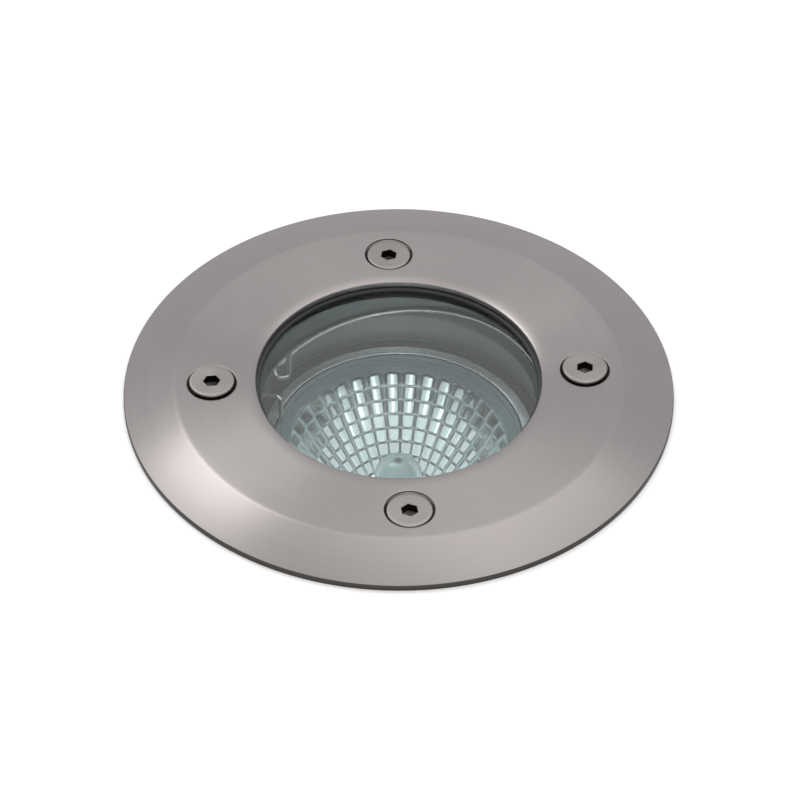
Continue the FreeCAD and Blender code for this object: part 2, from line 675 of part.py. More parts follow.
def make_can():
    """Die-cast can: flange and lens seat, well, lamp floor, wiring space, screw lugs and fins."""
    can = body("light_can", s.ground_level)
    seat = lens_seat - s.ground_level
    floor = lamp_floor - s.ground_level
    ring_floor = ring_seat - s.ground_level
    base = -s.can_depth
    inner_floor = base + s.can_floor
    step_radius = lamp_ring_radius + s.slip
    neck_wall = rebate_radius + s.can_wall
    well_wall = bore_radius + s.can_wall
    seat_under = seat - s.can_wall
    floor_under = ring_floor - s.can_wall
    low_bore = can_bore - s.can_draft
    low_wall = can_radius - s.can_draft * 2
    thread_hole = s.gland_thread_radius + s.fit_gap
    outside = [
        (0, 0),
        (flange_radius, 0),
        (flange_radius, -s.flange_thickness),
        (neck_wall + 2, -s.flange_thickness),
        (neck_wall, -s.flange_thickness - 2),
        (neck_wall, seat_under),
        (well_wall, seat_under - s.can_wall),
        (well_wall, ring_floor + s.can_wall),
        (can_radius, floor_under),
        (low_wall, base + 3),
        (low_wall - 3, base),
        (0, base),
    ]
    turned(can, "Outside", outside)
    lug = prism(
        can,
        "Lug",
        lambda sketch: circle(sketch, screw_circle, 0, s.lug_radius),
        -s.lug_length,
        s.lug_length,
    )
    round_pattern(can, "Lugs", lug, 4)

    turn = FreeCAD.Rotation(FreeCAD.Vector(0, 1, 0), 15)
    fin_sketch = empty_sketch(can, "Fin_outline", "XZ_Plane", turn=turn)
    fin_top = ring_floor
    fin_low = base + 4
    root = low_wall - s.can_wall / 2
    outline(
        fin_sketch,
        [
            (root, fin_low),
            (low_wall + 2, fin_low),
            (fin_radius, fin_low + s.fin_slope),
            (fin_radius, fin_top),
            (root, fin_top),
        ],
    )
    fin = can.newObject("PartDesign::Pad", "Fin")
    fin.Profile = fin_sketch
    fin.SideType = "Symmetric"
    bind(fin, "Length", s.fin_thickness)
    round_pattern(can, "Fins", fin, s.fin_count)
    hollow = [
        (0, 1),
        (rebate_radius, 1),
        (rebate_radius, seat),
        (bore_radius, seat),
        (bore_radius, floor),
        (step_radius, floor),
        (step_radius, ring_floor),
        (can_bore, ring_floor),
        (low_bore, inner_floor),
        (thread_hole, inner_floor),
        (thread_hole, base - 1),
        (0, base - 1),
    ]
    turned(can, "Hollow", hollow, cut=True)

    def draw_hole(radius, x, y):
        return lambda sketch: circle(sketch, x, y, radius)

    long_hole = prism(
        can,
        "FixingHole",
        draw_hole(s.through_radius, screw_circle, 0),
        1,
        s.lug_length + 2,
        cut=True,
        upwards=False,
    )
    round_pattern(can, "FixingHoles", long_hole, 2)
    short_hole = prism(
        can,
        "TappedHole",
        draw_hole(s.tapped_radius, 0, screw_circle),
        1,
        s.lug_length - 1,
        cut=True,
        upwards=False,
    )
    round_pattern(can, "TappedHoles", short_hole, 2)
    prism(
        can,
        "BlockScrewHole",
        draw_hole(s.block_screw_radius + 0.05, 0, s.block_offset),
        inner_floor,
        s.block_screw_depth,
        cut=True,
        upwards=False,
    )
    return can


def make_lamp_ring():
    """Turned ring let into the lamp floor; the lamp's rim drops into it."""
    ring = body("lamp_ring", ring_seat)
    height = s.lamp_ring_depth + s.lamp_ring_rise
    bore = s.lamp_radius + s.slip
    corners = [
        (lamp_ring_bore, 0),
        (lamp_ring_radius, 0),
        (lamp_ring_radius, height - s.edge_break),
        (lamp_ring_radius - s.edge_break, height),
        (bore + s.edge_break, height),
        (bore, height - s.edge_break),
        (bore, s.lamp_ring_base),
        (lamp_ring_bore, s.lamp_ring_base),
    ]
    turned(ring, "Ring", corners)
    return ring


# ---------------------------------------------------------------- lamp


def make_reflector():
    """Pressed glass bowl: its outside is turned and its inside is a bowl of flat facets."""
    outside = body("reflector_blank", bowl_floor)
    face = lamp_face - bowl_floor
    seat = lamp_seat - bowl_floor
    cover = cover_base - bowl_floor
    neck_base = base_top - bowl_floor

    def bowl_height(radius):
        return s.bowl_depth * (radius * radius) / (bowl_radius * bowl_radius)

    def shell_height(radius):
        return bowl_height(radius - s.bowl_wall * 0.75) - s.bowl_wall

    shoulder = lamp_ring_bore - 0.5
    waist = (shoulder + s.neck_outer_radius) / 2
    low_waist = (waist + s.neck_outer_radius) / 2
    high_waist = (waist + shoulder) / 2
    corners = [
        (s.neck_radius, neck_base),
        (s.neck_outer_radius, neck_base),
        (s.neck_outer_radius, shell_height(s.neck_outer_radius)),
        (low_waist, shell_height(low_waist)),
        (waist, shell_height(waist)),
        (high_waist, shell_height(high_waist)),
        (shoulder, seat),
        (s.lamp_radius, seat),
        (s.lamp_radius, face),
        (lamp_cover_radius + s.fit_gap, face),
        (lamp_cover_radius + s.fit_gap, cover),
        (s.neck_radius, cover),
    ]
    turned(outside, "Blank", corners)

    rings = []
    step = (facet_outer_radius - s.facet_inner_radius) / s.facet_rows
    rows = [facet_outer_radius - step * row for row in range(int(s.facet_rows.number) + 1)]
    radii = [facet_mouth, facet_mouth] + rows
    heights = [cover + 0.5, cover] + [bowl_height(radius) for radius in rows]
    for number, (radius, height) in enumerate(zip(radii, heights)):
        row = doc.addObject("Part::RegularPolygon", f"FacetRow{number}")
        bind(row, "Polygon", s.facet_columns)
        bind(row, "Circumradius", radius)
        bind(row, "Placement.Base.z", height + bowl_floor)
        rings.append(row)
    bowl = doc.addObject("Part::Loft", "FacetedBowl")
    bowl.Sections = rings
    bowl.Solid = True
    bowl.Ruled = True
    reflector = doc.addObject("Part::Cut", "Reflector")
    reflector.Base = outside
    reflector.Tool = bowl
    reflector.Label = "lamp_reflector"
    return reflector


def make_lamp_cover():
    """Front glass of the lamp, bonded in the reflector's rim."""
    cover = body("lamp_cover_glass", cover_base)
    annulus(cover, "Disc", 0, lamp_cover_radius, 0, s.lamp_cover_thickness)
    return cover


def make_capsule():
    """Quartz capsule: a hollow domed tube closed by a flat pinch that sits in the base."""
    capsule = body("lamp_capsule", base_top)
    radius, wall, tip = s.capsule_radius, s.capsule_wall, s.capsule_length
    dome = radius * 0.7
    corners = [
        (0, 0),
        (radius - 0.5, 0),
        (radius, 0.5),
        (radius, tip - dome),
        (radius * 0.87, tip - dome * 0.45),
        (radius * 0.5, tip - dome * 0.12),
        (0, tip),
        (0, tip - wall),
        (radius * 0.5 - wall * 0.3, tip - dome * 0.12 - wall),
        (radius * 0.87 - wall * 0.7, tip - dome * 0.45 - wall * 0.6),
        (radius - wall, tip - dome),
        (radius - wall, s.filament_height - s.filament_radius * 3),
        (0, s.filament_height - s.filament_radius * 4),
    ]
    turned(capsule, "Tube", corners)
    return capsule


def make_filament():
    """Tungsten coil, lying across the capsule, as the rod that its turns fill."""
    filament = body("lamp_filament", base_top + s.filament_height)
    sketch = empty_sketch(filament, "Coil_outline", "YZ_Plane")
    circle(sketch, 0, 0, s.filament_radius)
    coil = filament.newObject("PartDesign::Pad", "Coil")
    coil.Profile = sketch
    coil.SideType = "Symmetric"
    bind(coil, "Length", s.filament_length)
    return filament


def make_lamp_base():
    """Ceramic base cemented on the reflector's neck."""
    base = body("lamp_base", lamp_end)
    prism(
        base,
        "Block",
        lambda sketch: outline(sketch, eased_corners(s.base_width, s.base_depth, s.ceramic_corner)),
        0,
        s.base_height,
    )
    return base


def make_lamp_pins():
    """Two round contact pins below the base."""
    form = body("pin_form")
    tip = s.edge_break
    corners = [
        (0, 0),
        (s.pin_radius - tip, 0),
        (s.pin_radius, tip),
        (s.pin_radius, s.pin_length),
        (0, s.pin_length),
    ]
    turned(form, "Pin", corners)
    low = lamp_end - s.pin_length
    half = s.pin_spacing / 2
    return pair("lamp_pins", form, [(-half, 0, low), (half, 0, low)])


# ---------------------------------------------------------------- wiring inside the can

def make_lampholder():
    """Ceramic push-on lampholder with two pin holes and two lead holes."""
    holder = body("lampholder", holder_base)
    prism(
        holder,
        "Block",
        lambda sketch: outline(sketch, eased_corners(s.holder_width, s.holder_depth, s.ceramic_corner)),
        0,
        s.holder_height,
    )

    def draw_pin_holes(sketch):
        for side in (-1, 1):
            circle(sketch, s.pin_spacing / 2 * side, 0, s.pin_radius + s.screw_gap)

    prism(
        holder,
        "PinHoles",
        draw_pin_holes,
        s.holder_height,
        s.pin_length + s.holder_gap,
        cut=True,
        upwards=False,
    )
    return holder


def make_lamp_leads():
    """Two insulated leads from the lampholder, down and round into the terminal block."""
    tubes = []
    reach = s.block_offset.number - s.block_depth.number / 2
    bend = s.lead_bend.number
    top, entry = holder_base.number, lead_entry.number
    for side in (-1, 1):
        x = side * s.lead_spacing.number / 2
        start = FreeCAD.Vector(x, 0, top)
        down = FreeCAD.Vector(x, 0, entry + bend)
        middle = FreeCAD.Vector(
            x, bend * (1 - math.cos(math.pi / 4)), entry + bend * (1 - math.sin(math.pi / 4))
        )
        level = FreeCAD.Vector(x, bend, entry)
        end = FreeCAD.Vector(x, reach, entry)
        path = Part.Wire(
            [
                Part.LineSegment(start, down).toShape(),
                Part.Arc(down, middle, level).toShape(),
                Part.LineSegment(level, end).toShape(),
            ]
        )
        ring = Part.makeCircle(s.lead_radius.number, start, FreeCAD.Vector(0, 0, -1))
        tubes.append(path.makePipeShell([Part.Wire(ring)], True, False))
    leads = doc.addObject("Part::Feature", "Leads")
    leads.Shape = Part.makeCompound(tubes)
    leads.Label = "lamp_leads"
    leads.Placement = FreeCAD.Placement()
    return leads


def make_terminal_block():
    """Two-pole connector block on the can's floor, with its wire ways and screw wells."""
    block = body("terminal_block", can_floor_top)
    prism(
        block,
        "Block",
        lambda sketch: outline(
            sketch, box_corners(s.block_width, s.block_depth, 0, s.block_offset)
        ),
        0,
        s.block_height,
    )
    sketch = empty_sketch(block, "WireWays_outline", "XZ_Plane")
    for side in (-1, 1):
        circle(sketch, s.lead_spacing * side, s.block_height * 0.3, s.terminal_radius)
    ways = block.newObject("PartDesign::Pocket", "WireWays")
    ways.Profile = sketch
    ways.Type = "ThroughAll"
    ways.SideType = "Symmetric"

    def draw_wells(sketch):
        for side in (-1, 1):
            circle(sketch, s.lead_spacing * side, s.block_offset, s.terminal_screw_radius + s.screw_gap)

    prism(
        block,
        "ScrewWells",
        draw_wells,
        s.block_height,
        s.block_height * 0.7,
        cut=True,
        upwards=False,
    )
    prism(
        block,
        "FixingWell",
        lambda sketch: circle(sketch, 0, s.block_offset, s.block_screw_radius * 2 + s.screw_gap),
        s.block_height,
        s.block_height / 2,
        cut=True,
        upwards=False,
    )
    prism(
        block,
        "FixingHole",
        lambda sketch: circle(sketch, 0, s.block_offset, s.block_screw_radius + s.fit_gap),
        s.block_height / 2 + 1,
        s.block_height / 2 + 2,
        cut=True,
        upwards=False,
    )
    return block


def make_block_screw():
    """Pan-head screw that holds the terminal block on the can's floor."""
    screw = body("block_screw", can_floor_top + s.block_height / 2)
    made_off = (s.block_height / 2 + s.block_screw_depth - 0.3)
    head = s.block_screw_radius * 2
    bind(screw, "Placement.Base.y", s.block_offset)
    turned(
        screw,
        "Screw",
        [
            (0, -made_off),
            (s.block_screw_radius, -made_off),
            (s.block_screw_radius, 0),
            (head, 0),
            (head, 1.2),
            (head - 0.6, 1.8),
            (0, 1.8),
        ],
    )
    prism(
        screw,
        "Slot",
        lambda sketch: outline(sketch, box_corners(0.6, head * 2)),
        1.8,
        0.9,
        cut=True,
        upwards=False,
    )
    return screw


def make_terminal_screws():
    """Clamping screws of the terminal block."""
    form = body("terminal_screw_form")
    prism(
        form,
        "Shank",
        lambda sketch: circle(sketch, 0, 0, s.terminal_screw_radius),
        0,
        s.block_height * 0.4,
    )
    slot = prism(
        form,
        "Slot",
        lambda sketch: outline(sketch, box_corners(0.6, s.terminal_screw_radius * 3)),
        s.block_height * 0.4,
        0.8,
        cut=True,
        upwards=False,
    )
    form.Tip = slot
    base = can_floor_top + s.block_height * 0.55
    return pair(
        "terminal_screws",
        form,
        [(-s.lead_spacing, s.block_offset, base), (s.lead_spacing, s.block_offset, base)],
    )


def make_terminal_tubes():
    """Brass tubes in which the screws clamp the wires."""
    form = body("terminal_tube_form")
    sketch = empty_sketch(form, "Tube_outline", "XZ_Plane")
    circle(sketch, 0, 0, s.terminal_radius - 0.05)
    circle(sketch, 0, 0, s.terminal_radius - 0.8)
    tube = form.newObject("PartDesign::Pad", "Tube")
    tube.Profile = sketch
    tube.SideType = "Symmetric"
    bind(tube, "Length", s.block_depth - 1.5)
    height = can_floor_top + s.block_height * 0.3
    return pair(
        "terminal_tubes",
        form,
        [(-s.lead_spacing, s.block_offset, height), (s.lead_spacing, s.block_offset, height)],
    )


# ---------------------------------------------------------------- cable gland

def make_gland_washer():
    """Sealing washer between the can and the gland."""
    washer = body("gland_washer", washer_base)
    annulus(
        washer, "Ring", s.gland_thread_radius + s.fit_gap, s.gland_flats / 2 + 0.6, 0, s.gland_washer
    )
    return washer


def make_gland_body():
    """Gland body: thread into the can, hexagon, and barrel for the seal."""
    gland = body("gland_body", barrel_base)
    top = s.gland_barrel + s.gland_hex_height
    thread_top = top + s.gland_washer + s.gland_spigot
    prism(
        gland,
        "Hexagon",
        lambda sketch: outline(sketch, hexagon_corners(s.gland_flats)),
        s.gland_barrel,
        s.gland_hex_height,
    )
    annulus(gland, "Thread", s.gland_bore, s.gland_thread_radius, top - 1, thread_top)
    annulus(gland, "Barrel", s.gland_bore, s.gland_barrel_radius, 0, s.gland_barrel + 1)
    turned(
        gland,
        "Bore",
        [(0, -1), (s.gland_bore, -1), (s.gland_bore, thread_top + 1), (0, thread_top + 1)],
        cut=True,
    )
    turned(
        gland,
        "SealPocket",
        [(0, -1), (s.seal_radius, -1), (s.seal_radius, s.seal_length), (0, s.seal_length)],
        cut=True,
    )
    return gland


def make_gland_seal():
    """Rubber seal that the dome nut squeezes onto the cable."""
    seal = body("gland_seal", barrel_base)
    annulus(seal, "Ring", s.cable_radius, s.seal_radius, 0, s.seal_length)
    return seal


def make_gland_nut():
    """Dome nut of the gland."""
    length, wall = s.dome_nut_length, 1.6
    nut = body("gland_nut", hex_base - length - 0.3)
    dome = length * 0.35
    inner = s.gland_barrel_radius + s.fit_gap
    prism(
        nut,
        "Hexagon",
        lambda sketch: outline(sketch, hexagon_corners(s.gland_flats)),
        dome,
        length - dome,
    )
    outer = s.gland_flats / 2 - 0.2
    turned(
        nut,
        "Dome",
        [
            (0, 0),
            (outer - dome * 0.8, 0),
            (outer - dome * 0.25, dome * 0.35),
            (outer, dome),
            (outer, dome + 1),
            (0, dome + 1),
        ],
    )
    shoulder = length + 0.3 - s.gland_barrel
    turned(
        nut,
        "Thread",
        [(0, shoulder), (inner, shoulder), (inner, length + 1), (0, length + 1)],
        cut=True,
    )
    turned(
        nut,
        "CableWay",
        [(0, -1), (s.gland_bore, -1), (s.gland_bore, shoulder + 1), (0, shoulder + 1)],
        cut=True,
    )
    return nut


# ---------------------------------------------------------------- lamp clip


def rounded_run(points, radius):
    """Edges of a run through the points, with a tangent arc of that radius at each inner one."""
    edges = []
    start = points[0]
    for before, corner, after in zip(points, points[1:], points[2:]):
        back = (before - corner).normalize()
        ahead = (after - corner).normalize()
        half = math.acos(max(-1, min(1, back.dot(ahead)))) / 2
        trim = radius / math.tan(half)
        first = corner + back * trim
        last = corner + ahead * trim
        centre = corner + (back + ahead).normalize() * (radius / math.sin(half))
        crown = centre + (corner - centre).normalize() * radius
        edges.append(Part.LineSegment(start, first).toShape())
        edges.append(Part.Arc(first, crown, last).toShape())
        start = last
    edges.append(Part.LineSegment(start, points[-1]).toShape())
    return edges


def make_lamp_clip():
    """Spring-wire clip: a slanted ring in the well, with a finger eye and a leg on the lamp's rim."""
    radius = clip_radius.number
    wire = s.wire_radius.number
    bend = s.clip_bend.number
    middle = (trim_top - s.clip_middle_depth).number
    slant = s.clip_slant.number
    eye_angle, leg_angle = s.clip_eye_angle.number, s.clip_leg_angle.number
    lead, drop = s.clip_eye_lead.number, s.clip_eye_drop.number
    gap = s.clip_gap.number
    rest = lamp_floor.number + wire + gap

    tilt = math.asin(slant / radius)
    across = FreeCAD.Vector(math.cos(tilt), 0, math.sin(tilt))
    centre = FreeCAD.Vector(0, 0, middle)

    def round_well(angle):
        """A point of the slanted ring, by its angle from its highest point."""
        turn = math.radians(angle)
        sideways = FreeCAD.Vector(0, radius * math.sin(turn), 0)
        return centre + across * (radius * math.cos(turn)) + sideways

    def along(angle, tangential, inward, height):
        """A point beside the ring's wire: along it, inwards from it and at a height."""
        turn = math.radians(angle)
        out = FreeCAD.Vector(math.cos(turn), math.sin(turn), 0)
        ahead = FreeCAD.Vector(-math.sin(turn), math.cos(turn), 0)
        place = out * (radius - inward) + ahead * tangential
        return FreeCAD.Vector(place.x, place.y, height)

    span = eye_angle - (leg_angle - 360)
    steps = 4
    marks = [eye_angle - span * step / (2 * steps) for step in range(2 * steps + 1)]
    ring = []
    for step in range(steps):
        one, two, three = (round_well(marks[2 * step + k]) for k in range(3))
        ring.append(Part.Arc(one, two, three).toShape())

    length = s.clip_eye_length.number
    start = ring[0].firstVertex().Point
    leaving = ring[0].tangentAt(ring[0].FirstParameter) * -1
    wire_height = start.z
    eye = [
        start,
        start + leaving * lead,
        along(eye_angle + 3, length, 1.0, wire_height - drop),
        along(eye_angle + 3, 0.5, 1.3, rest),
        along(eye_angle + 3, 0.3, 2.0, wire_height + s.clip_tail_rise.number),
    ]
    finish = ring[-1].lastVertex().Point
    arriving = ring[-1].tangentAt(ring[-1].LastParameter)
    leg_turn = math.radians(s.clip_foot_angle.number)
    leg_radius = s.lamp_radius.number - wire - gap
    out = FreeCAD.Vector(math.cos(leg_turn), math.sin(leg_turn), 0) * leg_radius
    knee = FreeCAD.Vector(out.x, out.y, finish.z)
    foot = FreeCAD.Vector(out.x, out.y, lamp_face.number + wire + gap)
    leg = [finish, finish + arriving * s.clip_leg_lead.number, knee, foot]
    eye_edges = rounded_run(eye, bend)
    leg_edges = rounded_run(leg, bend)
    path = Part.Wire(Part.__sortEdges__(eye_edges + ring + leg_edges))
    tail = path.OrderedEdges[0]
    tip = tail.valueAt(tail.FirstParameter)
    section = Part.Wire(Part.makeCircle(wire, tip, tail.tangentAt(tail.FirstParameter)))
    pipe = path.makePipeShell([section], True, False)
    print("clip wire: length", round(path.Length, 2), "tightest bend", bend)
    print("clip wire: least gap to itself", round(self_gap(path, wire), 3))
    clip = doc.addObject("Part::Feature", "Clip")
    clip.Shape = pipe
    clip.Label = "lamp_clip"
    clip.Placement = FreeCAD.Placement()
    return clip


def self_gap(path, wire):
    """The least clear space between stretches of the wire further apart than a tight bend."""
    spacing = wire / 2
    points = path.discretize(Distance=spacing)
    apart = int(math.ceil(math.pi * 2.2 / spacing))
    least = min(
        points[one].distanceToPoint(points[two])
        for one in range(len(points))
        for two in range(one + apart, len(points))
    )
    return least - 2 * wire


# ---------------------------------------------------------------- assembly


def make_all():
    """Every sub-part, in the order in which the light is put together."""
    made = [make_sleeve(), make_sleeve_inserts(), make_rim_gasket(), make_can(), make_lamp_ring()]
    made += [make_reflector(), make_lamp_cover(), make_capsule(), make_filament()]
    made += [make_lamp_base(), make_lamp_pins(), make_lamp_clip()]
    made += [make_lampholder(), make_lamp_leads(), make_terminal_block()]
    made += [make_terminal_screws(), make_terminal_tubes(), make_block_screw()]
    made += [make_gland_washer(), make_gland_body(), make_gland_seal(), make_gland_nut()]
    made += [make_trim_ring(), make_lens(), make_lens_gasket()]
    made += make_screws()
    return made


def check(parts):
    """Stops with a plain message if any object failed or any sub-part has no sound shape."""
    for item in doc.Objects:
        if "Invalid" in item.State or "Error" in item.State:
            raise RuntimeError(f"{item.Label} did not compute: {item.State}")
    for item in parts:
        if item.Shape.isNull() or not item.Shape.isValid() or not item.Shape.Solids:
            raise RuntimeError(f"{item.Label} has no sound solid")


sub_parts = make_all()
doc.recompute()
check(sub_parts)
os.makedirs("parts", exist_ok=True)
for item in sub_parts:
    item.Shape.exportStep(f"parts/{item.Label}.step")
    print(f"{item.Label}: {len(item.Shape.Solids)} solid(s), {item.Shape.Volume:.1f} mm3")
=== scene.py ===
import math

import bmesh
import bpy
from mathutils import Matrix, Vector


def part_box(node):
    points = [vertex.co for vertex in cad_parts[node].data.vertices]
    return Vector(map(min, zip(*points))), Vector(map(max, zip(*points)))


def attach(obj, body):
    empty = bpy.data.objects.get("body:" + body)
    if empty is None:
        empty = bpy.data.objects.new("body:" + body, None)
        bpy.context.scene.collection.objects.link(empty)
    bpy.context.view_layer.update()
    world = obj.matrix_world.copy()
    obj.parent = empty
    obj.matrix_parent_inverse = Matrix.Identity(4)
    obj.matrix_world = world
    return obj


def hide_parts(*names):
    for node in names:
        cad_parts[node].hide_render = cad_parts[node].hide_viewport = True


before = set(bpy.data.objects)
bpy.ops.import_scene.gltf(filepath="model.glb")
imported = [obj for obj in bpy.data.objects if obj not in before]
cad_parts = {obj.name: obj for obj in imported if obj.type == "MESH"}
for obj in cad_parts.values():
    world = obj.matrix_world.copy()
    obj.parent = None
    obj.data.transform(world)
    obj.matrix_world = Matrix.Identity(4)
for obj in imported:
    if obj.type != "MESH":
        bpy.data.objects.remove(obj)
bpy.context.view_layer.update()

# An in-ground well light, set flush in a white floor: a stainless trim and four screws over a
# glass-topped well, with a faceted reflector lamp held in it by a spring-wire clip.
# Pieces are drawn in millimetres and scaled to metres when their mesh is made.
MM = 0.001

# ---------------------------------------------------------------- sizes, in mm


def node_span(node):
    """The lowest and highest corners of a node, in mm."""
    low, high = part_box(node)
    return low / MM, high / MM


trim_low, trim_high = node_span("trim_ring")
GROUND, TRIM_TOP, TRIM_RADIUS = trim_low.z, trim_high.z, trim_high.x
EDGE_HEIGHT = 1.3
BEVEL_RADIUS = 45.0
LIP_RADIUS = 31.2
OPENING_RADIUS = 28.6
LIP_DROP = 0.33
LIP_THICKNESS = 1.5
REBATE_RADIUS = 32.9
SCREW_CIRCLE = 37.3
SINK_RADIUS = 4.95
SINK_LAND = 0.4
THROUGH_RADIUS = 2.9

HEAD_RADIUS = 4.5
HEAD_LAND = 0.7
SHANK_RADIUS = 2.45
THREAD_DEPTH = 0.38
THREAD_PITCH = 0.8
SOCKET_FLATS = 3.0
SOCKET_DEPTH = 1.9

lens_low, lens_high = node_span("lens_glass")
gasket_low, gasket_high = node_span("lens_gasket")
GASKET_LIP = gasket_high.z - lens_high.z
GASKET_REACH = 0.8

WELL_RADIUS = 30.2
ring_low, ring_high = node_span("lamp_ring")
RING_RISE = 1.0
RING_BASE = 1.2
RING_BORE = 25.5
RING_INNER = 23.9
LAMP_FLOOR = ring_high.z - RING_RISE
LAMP_SEAT = ring_low.z + RING_BASE

lamp_low, lamp_high = node_span("lamp_reflector")
LAMP_RADIUS, LAMP_FACE = lamp_high.x, lamp_high.z
cover_low, cover_high = node_span("lamp_cover_glass")
BOWL_RADIUS = 23.9
BOWL_DEPTH = 20.0
BOWL_FLOOR = ring_high.z - BOWL_DEPTH
BOWL_WALL = 1.8
FACET_COLUMNS = 38
FACET_ROWS = 8
FACET_OUTER = 21.9
FACET_INNER = 7.4
# The crown is lost towards the neck by the taper, and the outermost row steps by that share more.
FACET_CROWN = 0.46
CROWN_TAPER = 0.67
FACET_STEP = 0.3
OUTERMOST_STEP = 0.7
FACET_CUTS = 3
SEAM = 0.01
NECK_RADIUS = 5.0
NECK_OUTER = 7.6

capsule_low, capsule_high = node_span("lamp_capsule")
CAPSULE_RADIUS = capsule_high.x
CAPSULE_WALL = 0.9
CAPSULE_RISE = 2.6
filament_low, filament_high = node_span("lamp_filament")

WIRE_RADIUS = 0.55
WIRE_GAP = 0.15
WIRE_BEND = 0.75
CLIP_RADIUS = WELL_RADIUS - WIRE_RADIUS - WIRE_GAP
CLIP_HEIGHT = TRIM_TOP - 11.8
CLIP_SLANT = 3.6
LEG_RISE = 1.8
# Degrees round from the X axis.
EYE_ANGLE, LEG_ANGLE, FOOT_ANGLE = 138.5, 166.0, 164.5

# Sides of a turned piece.
ROUND = 192

# ---------------------------------------------------------------- drawing meshes


def rounded(corners, steps=4):
    """Points of an open outline; an inner corner (x, y, r) is rounded by an arc of radius r."""
    points = []
    for index, corner in enumerate(corners):
        here = Vector(corner[:2])
        if len(corner) == 2:
            points.append(here)
            continue
        back = (Vector(corners[index - 1][:2]) - here).normalized()
        ahead = (Vector(corners[index + 1][:2]) - here).normalized()
        half = back.angle(ahead) / 2
        centre = here + (back + ahead).normalized() * (corner[2] / math.sin(half))
        first = here + back * (corner[2] / math.tan(half)) - centre
        last = here + ahead * (corner[2] / math.tan(half)) - centre
        for step in range(steps + 1):
            spoke = first.lerp(last, step / steps).normalized() * corner[2]
            points.append(centre + spoke)
    return points


def revolve(bm, outline, sides=ROUND, centre=(0.0, 0.0), closed=False):
    """Turns an outline of (radius, height) points about an upright axis; returns its rings."""
    rings = []
    for radius, height in outline:
        count = sides if radius > 1e-6 else 1
        ring = []
        for side in range(count):
            turn = 2 * math.pi * side / sides
            x = centre[0] + radius * math.cos(turn)
            y = centre[1] + radius * math.sin(turn)
            ring.append(bm.verts.new((x, y, height)))
        rings.append(ring)
    following = rings[1:] + rings[:1] if closed else rings[1:]
    for low, high in zip(rings, following):
        for side in range(sides):
            turn = (side + 1) % sides
            corners = [low[side % len(low)], low[turn % len(low)]]
            corners += [high[turn % len(high)], high[side % len(high)]]
            corners = list(dict.fromkeys(corners))
            if len(corners) > 2:
                bm.faces.new(corners)
    return rings


def fill(bm, *loops):
    """Closes the flat area that lies between loops of vertices."""
    edges = []
    for loop in loops:
        for one, two in zip(loop, loop[1:] + loop[:1]):
            edges.append(bm.edges.get((one, two)) or bm.edges.new((one, two)))
    bmesh.ops.triangle_fill(bm, edges=edges, use_beauty=True, normal=(0, 0, 1))


def to_mesh(name, bm, sharp=28):
    """A mesh in metres, smooth but for edges sharper than the angle, with its faces outwards."""
    bmesh.ops.remove_doubles(bm, verts=bm.verts, dist=1e-4)
    bmesh.ops.recalc_face_normals(bm, faces=bm.faces)
    bmesh.ops.scale(bm, vec=(MM, MM, MM), verts=bm.verts)
    mesh = bpy.data.meshes.new(name)
    bm.to_mesh(mesh)
    bm.free()
    mesh.shade_smooth()
    mesh.set_sharp_from_angle(angle=math.radians(sharp))
    return mesh


def to_object(name, held):
    """An object at the origin that holds a mesh, a curve, a lamp or the camera."""
    made = bpy.data.objects.new(name, held)
    bpy.context.scene.collection.objects.link(made)
    return made


def seat(piece, body, slot, finish, *nodes):
    """Gives a piece its finish, the body that carries it and the nodes that it stands for."""
    piece.data.materials.clear()
    piece.data.materials.append(finish)
    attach(piece, body)
    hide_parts(*nodes)


# ---------------------------------------------------------------- node trees


def add(tree, kind, inputs=(), **settings):
    """Adds a node with its settings; its inputs, in order or by name, are values or links.

    A link is a socket, or a node that stands for its first output.
    """
    node = tree.nodes.new(kind)
    for name, value in settings.items():
        setattr(node, name, value)
    for socket, value in inputs.items() if isinstance(inputs, dict) else enumerate(inputs):
        if isinstance(value, bpy.types.Node):
            value = value.outputs[0]
        if isinstance(value, bpy.types.NodeSocket):
            tree.links.new(value, node.inputs[socket])
        else:
            node.inputs[socket].default_value = value
    return node


def shape_tree(name, **inputs):
    """A geometry tree with named inputs; returns it and the sockets of its group input."""
    tree = bpy.data.node_groups.new(name, "GeometryNodeTree")
    kinds = {float: "NodeSocketFloat", int: "NodeSocketInt"}
    for label, value in inputs.items():
        kind = kinds.get(type(value), "NodeSocketObject")
        if isinstance(value, bpy.types.Material):
            kind = "NodeSocketMaterial"
        tree.interface.new_socket(name=label, in_out="INPUT", socket_type=kind)
    tree.interface.new_socket(name="Geometry", in_out="OUTPUT", socket_type="NodeSocketGeometry")
    return tree, add(tree, "NodeGroupInput").outputs


def finish_tree(tree, shape, finish):
    """Ends a tree in real geometry that carries its material."""
    real = add(tree, "GeometryNodeRealizeInstances", [shape])
    coated = add(tree, "GeometryNodeSetMaterial", {"Geometry": real, "Material": finish})
    add(tree, "NodeGroupOutput", [coated])


def grow(name, tree, **inputs):
    """Runs a tree with its inputs set, and returns the result as a plain mesh."""
    carrier = to_object(name, bpy.data.meshes.new(name + "_seed"))
    modifier = carrier.modifiers.new(name, "NODES")
    modifier.node_group = tree
    for item in tree.interface.items_tree:
        if item.in_out == "INPUT":
            modifier[item.identifier] = inputs[item.name]
    graph = bpy.context.evaluated_depsgraph_get()
    mesh = bpy.data.meshes.new_from_object(carrier.evaluated_get(graph))
    mesh.name = name
    bpy.data.objects.remove(carrier)
    return mesh


def round_axis(tree, angle, radius, height):
    """A place at an angle round the upright axis, at a radius and a height."""
    level = []
    for way in ("COSINE", "SINE"):
        share = add(tree, "ShaderNodeMath", [angle], operation=way)
        level.append(add(tree, "ShaderNodeMath", [share, radius], operation="MULTIPLY"))
    return add(tree, "ShaderNodeCombineXYZ", [*level, height])


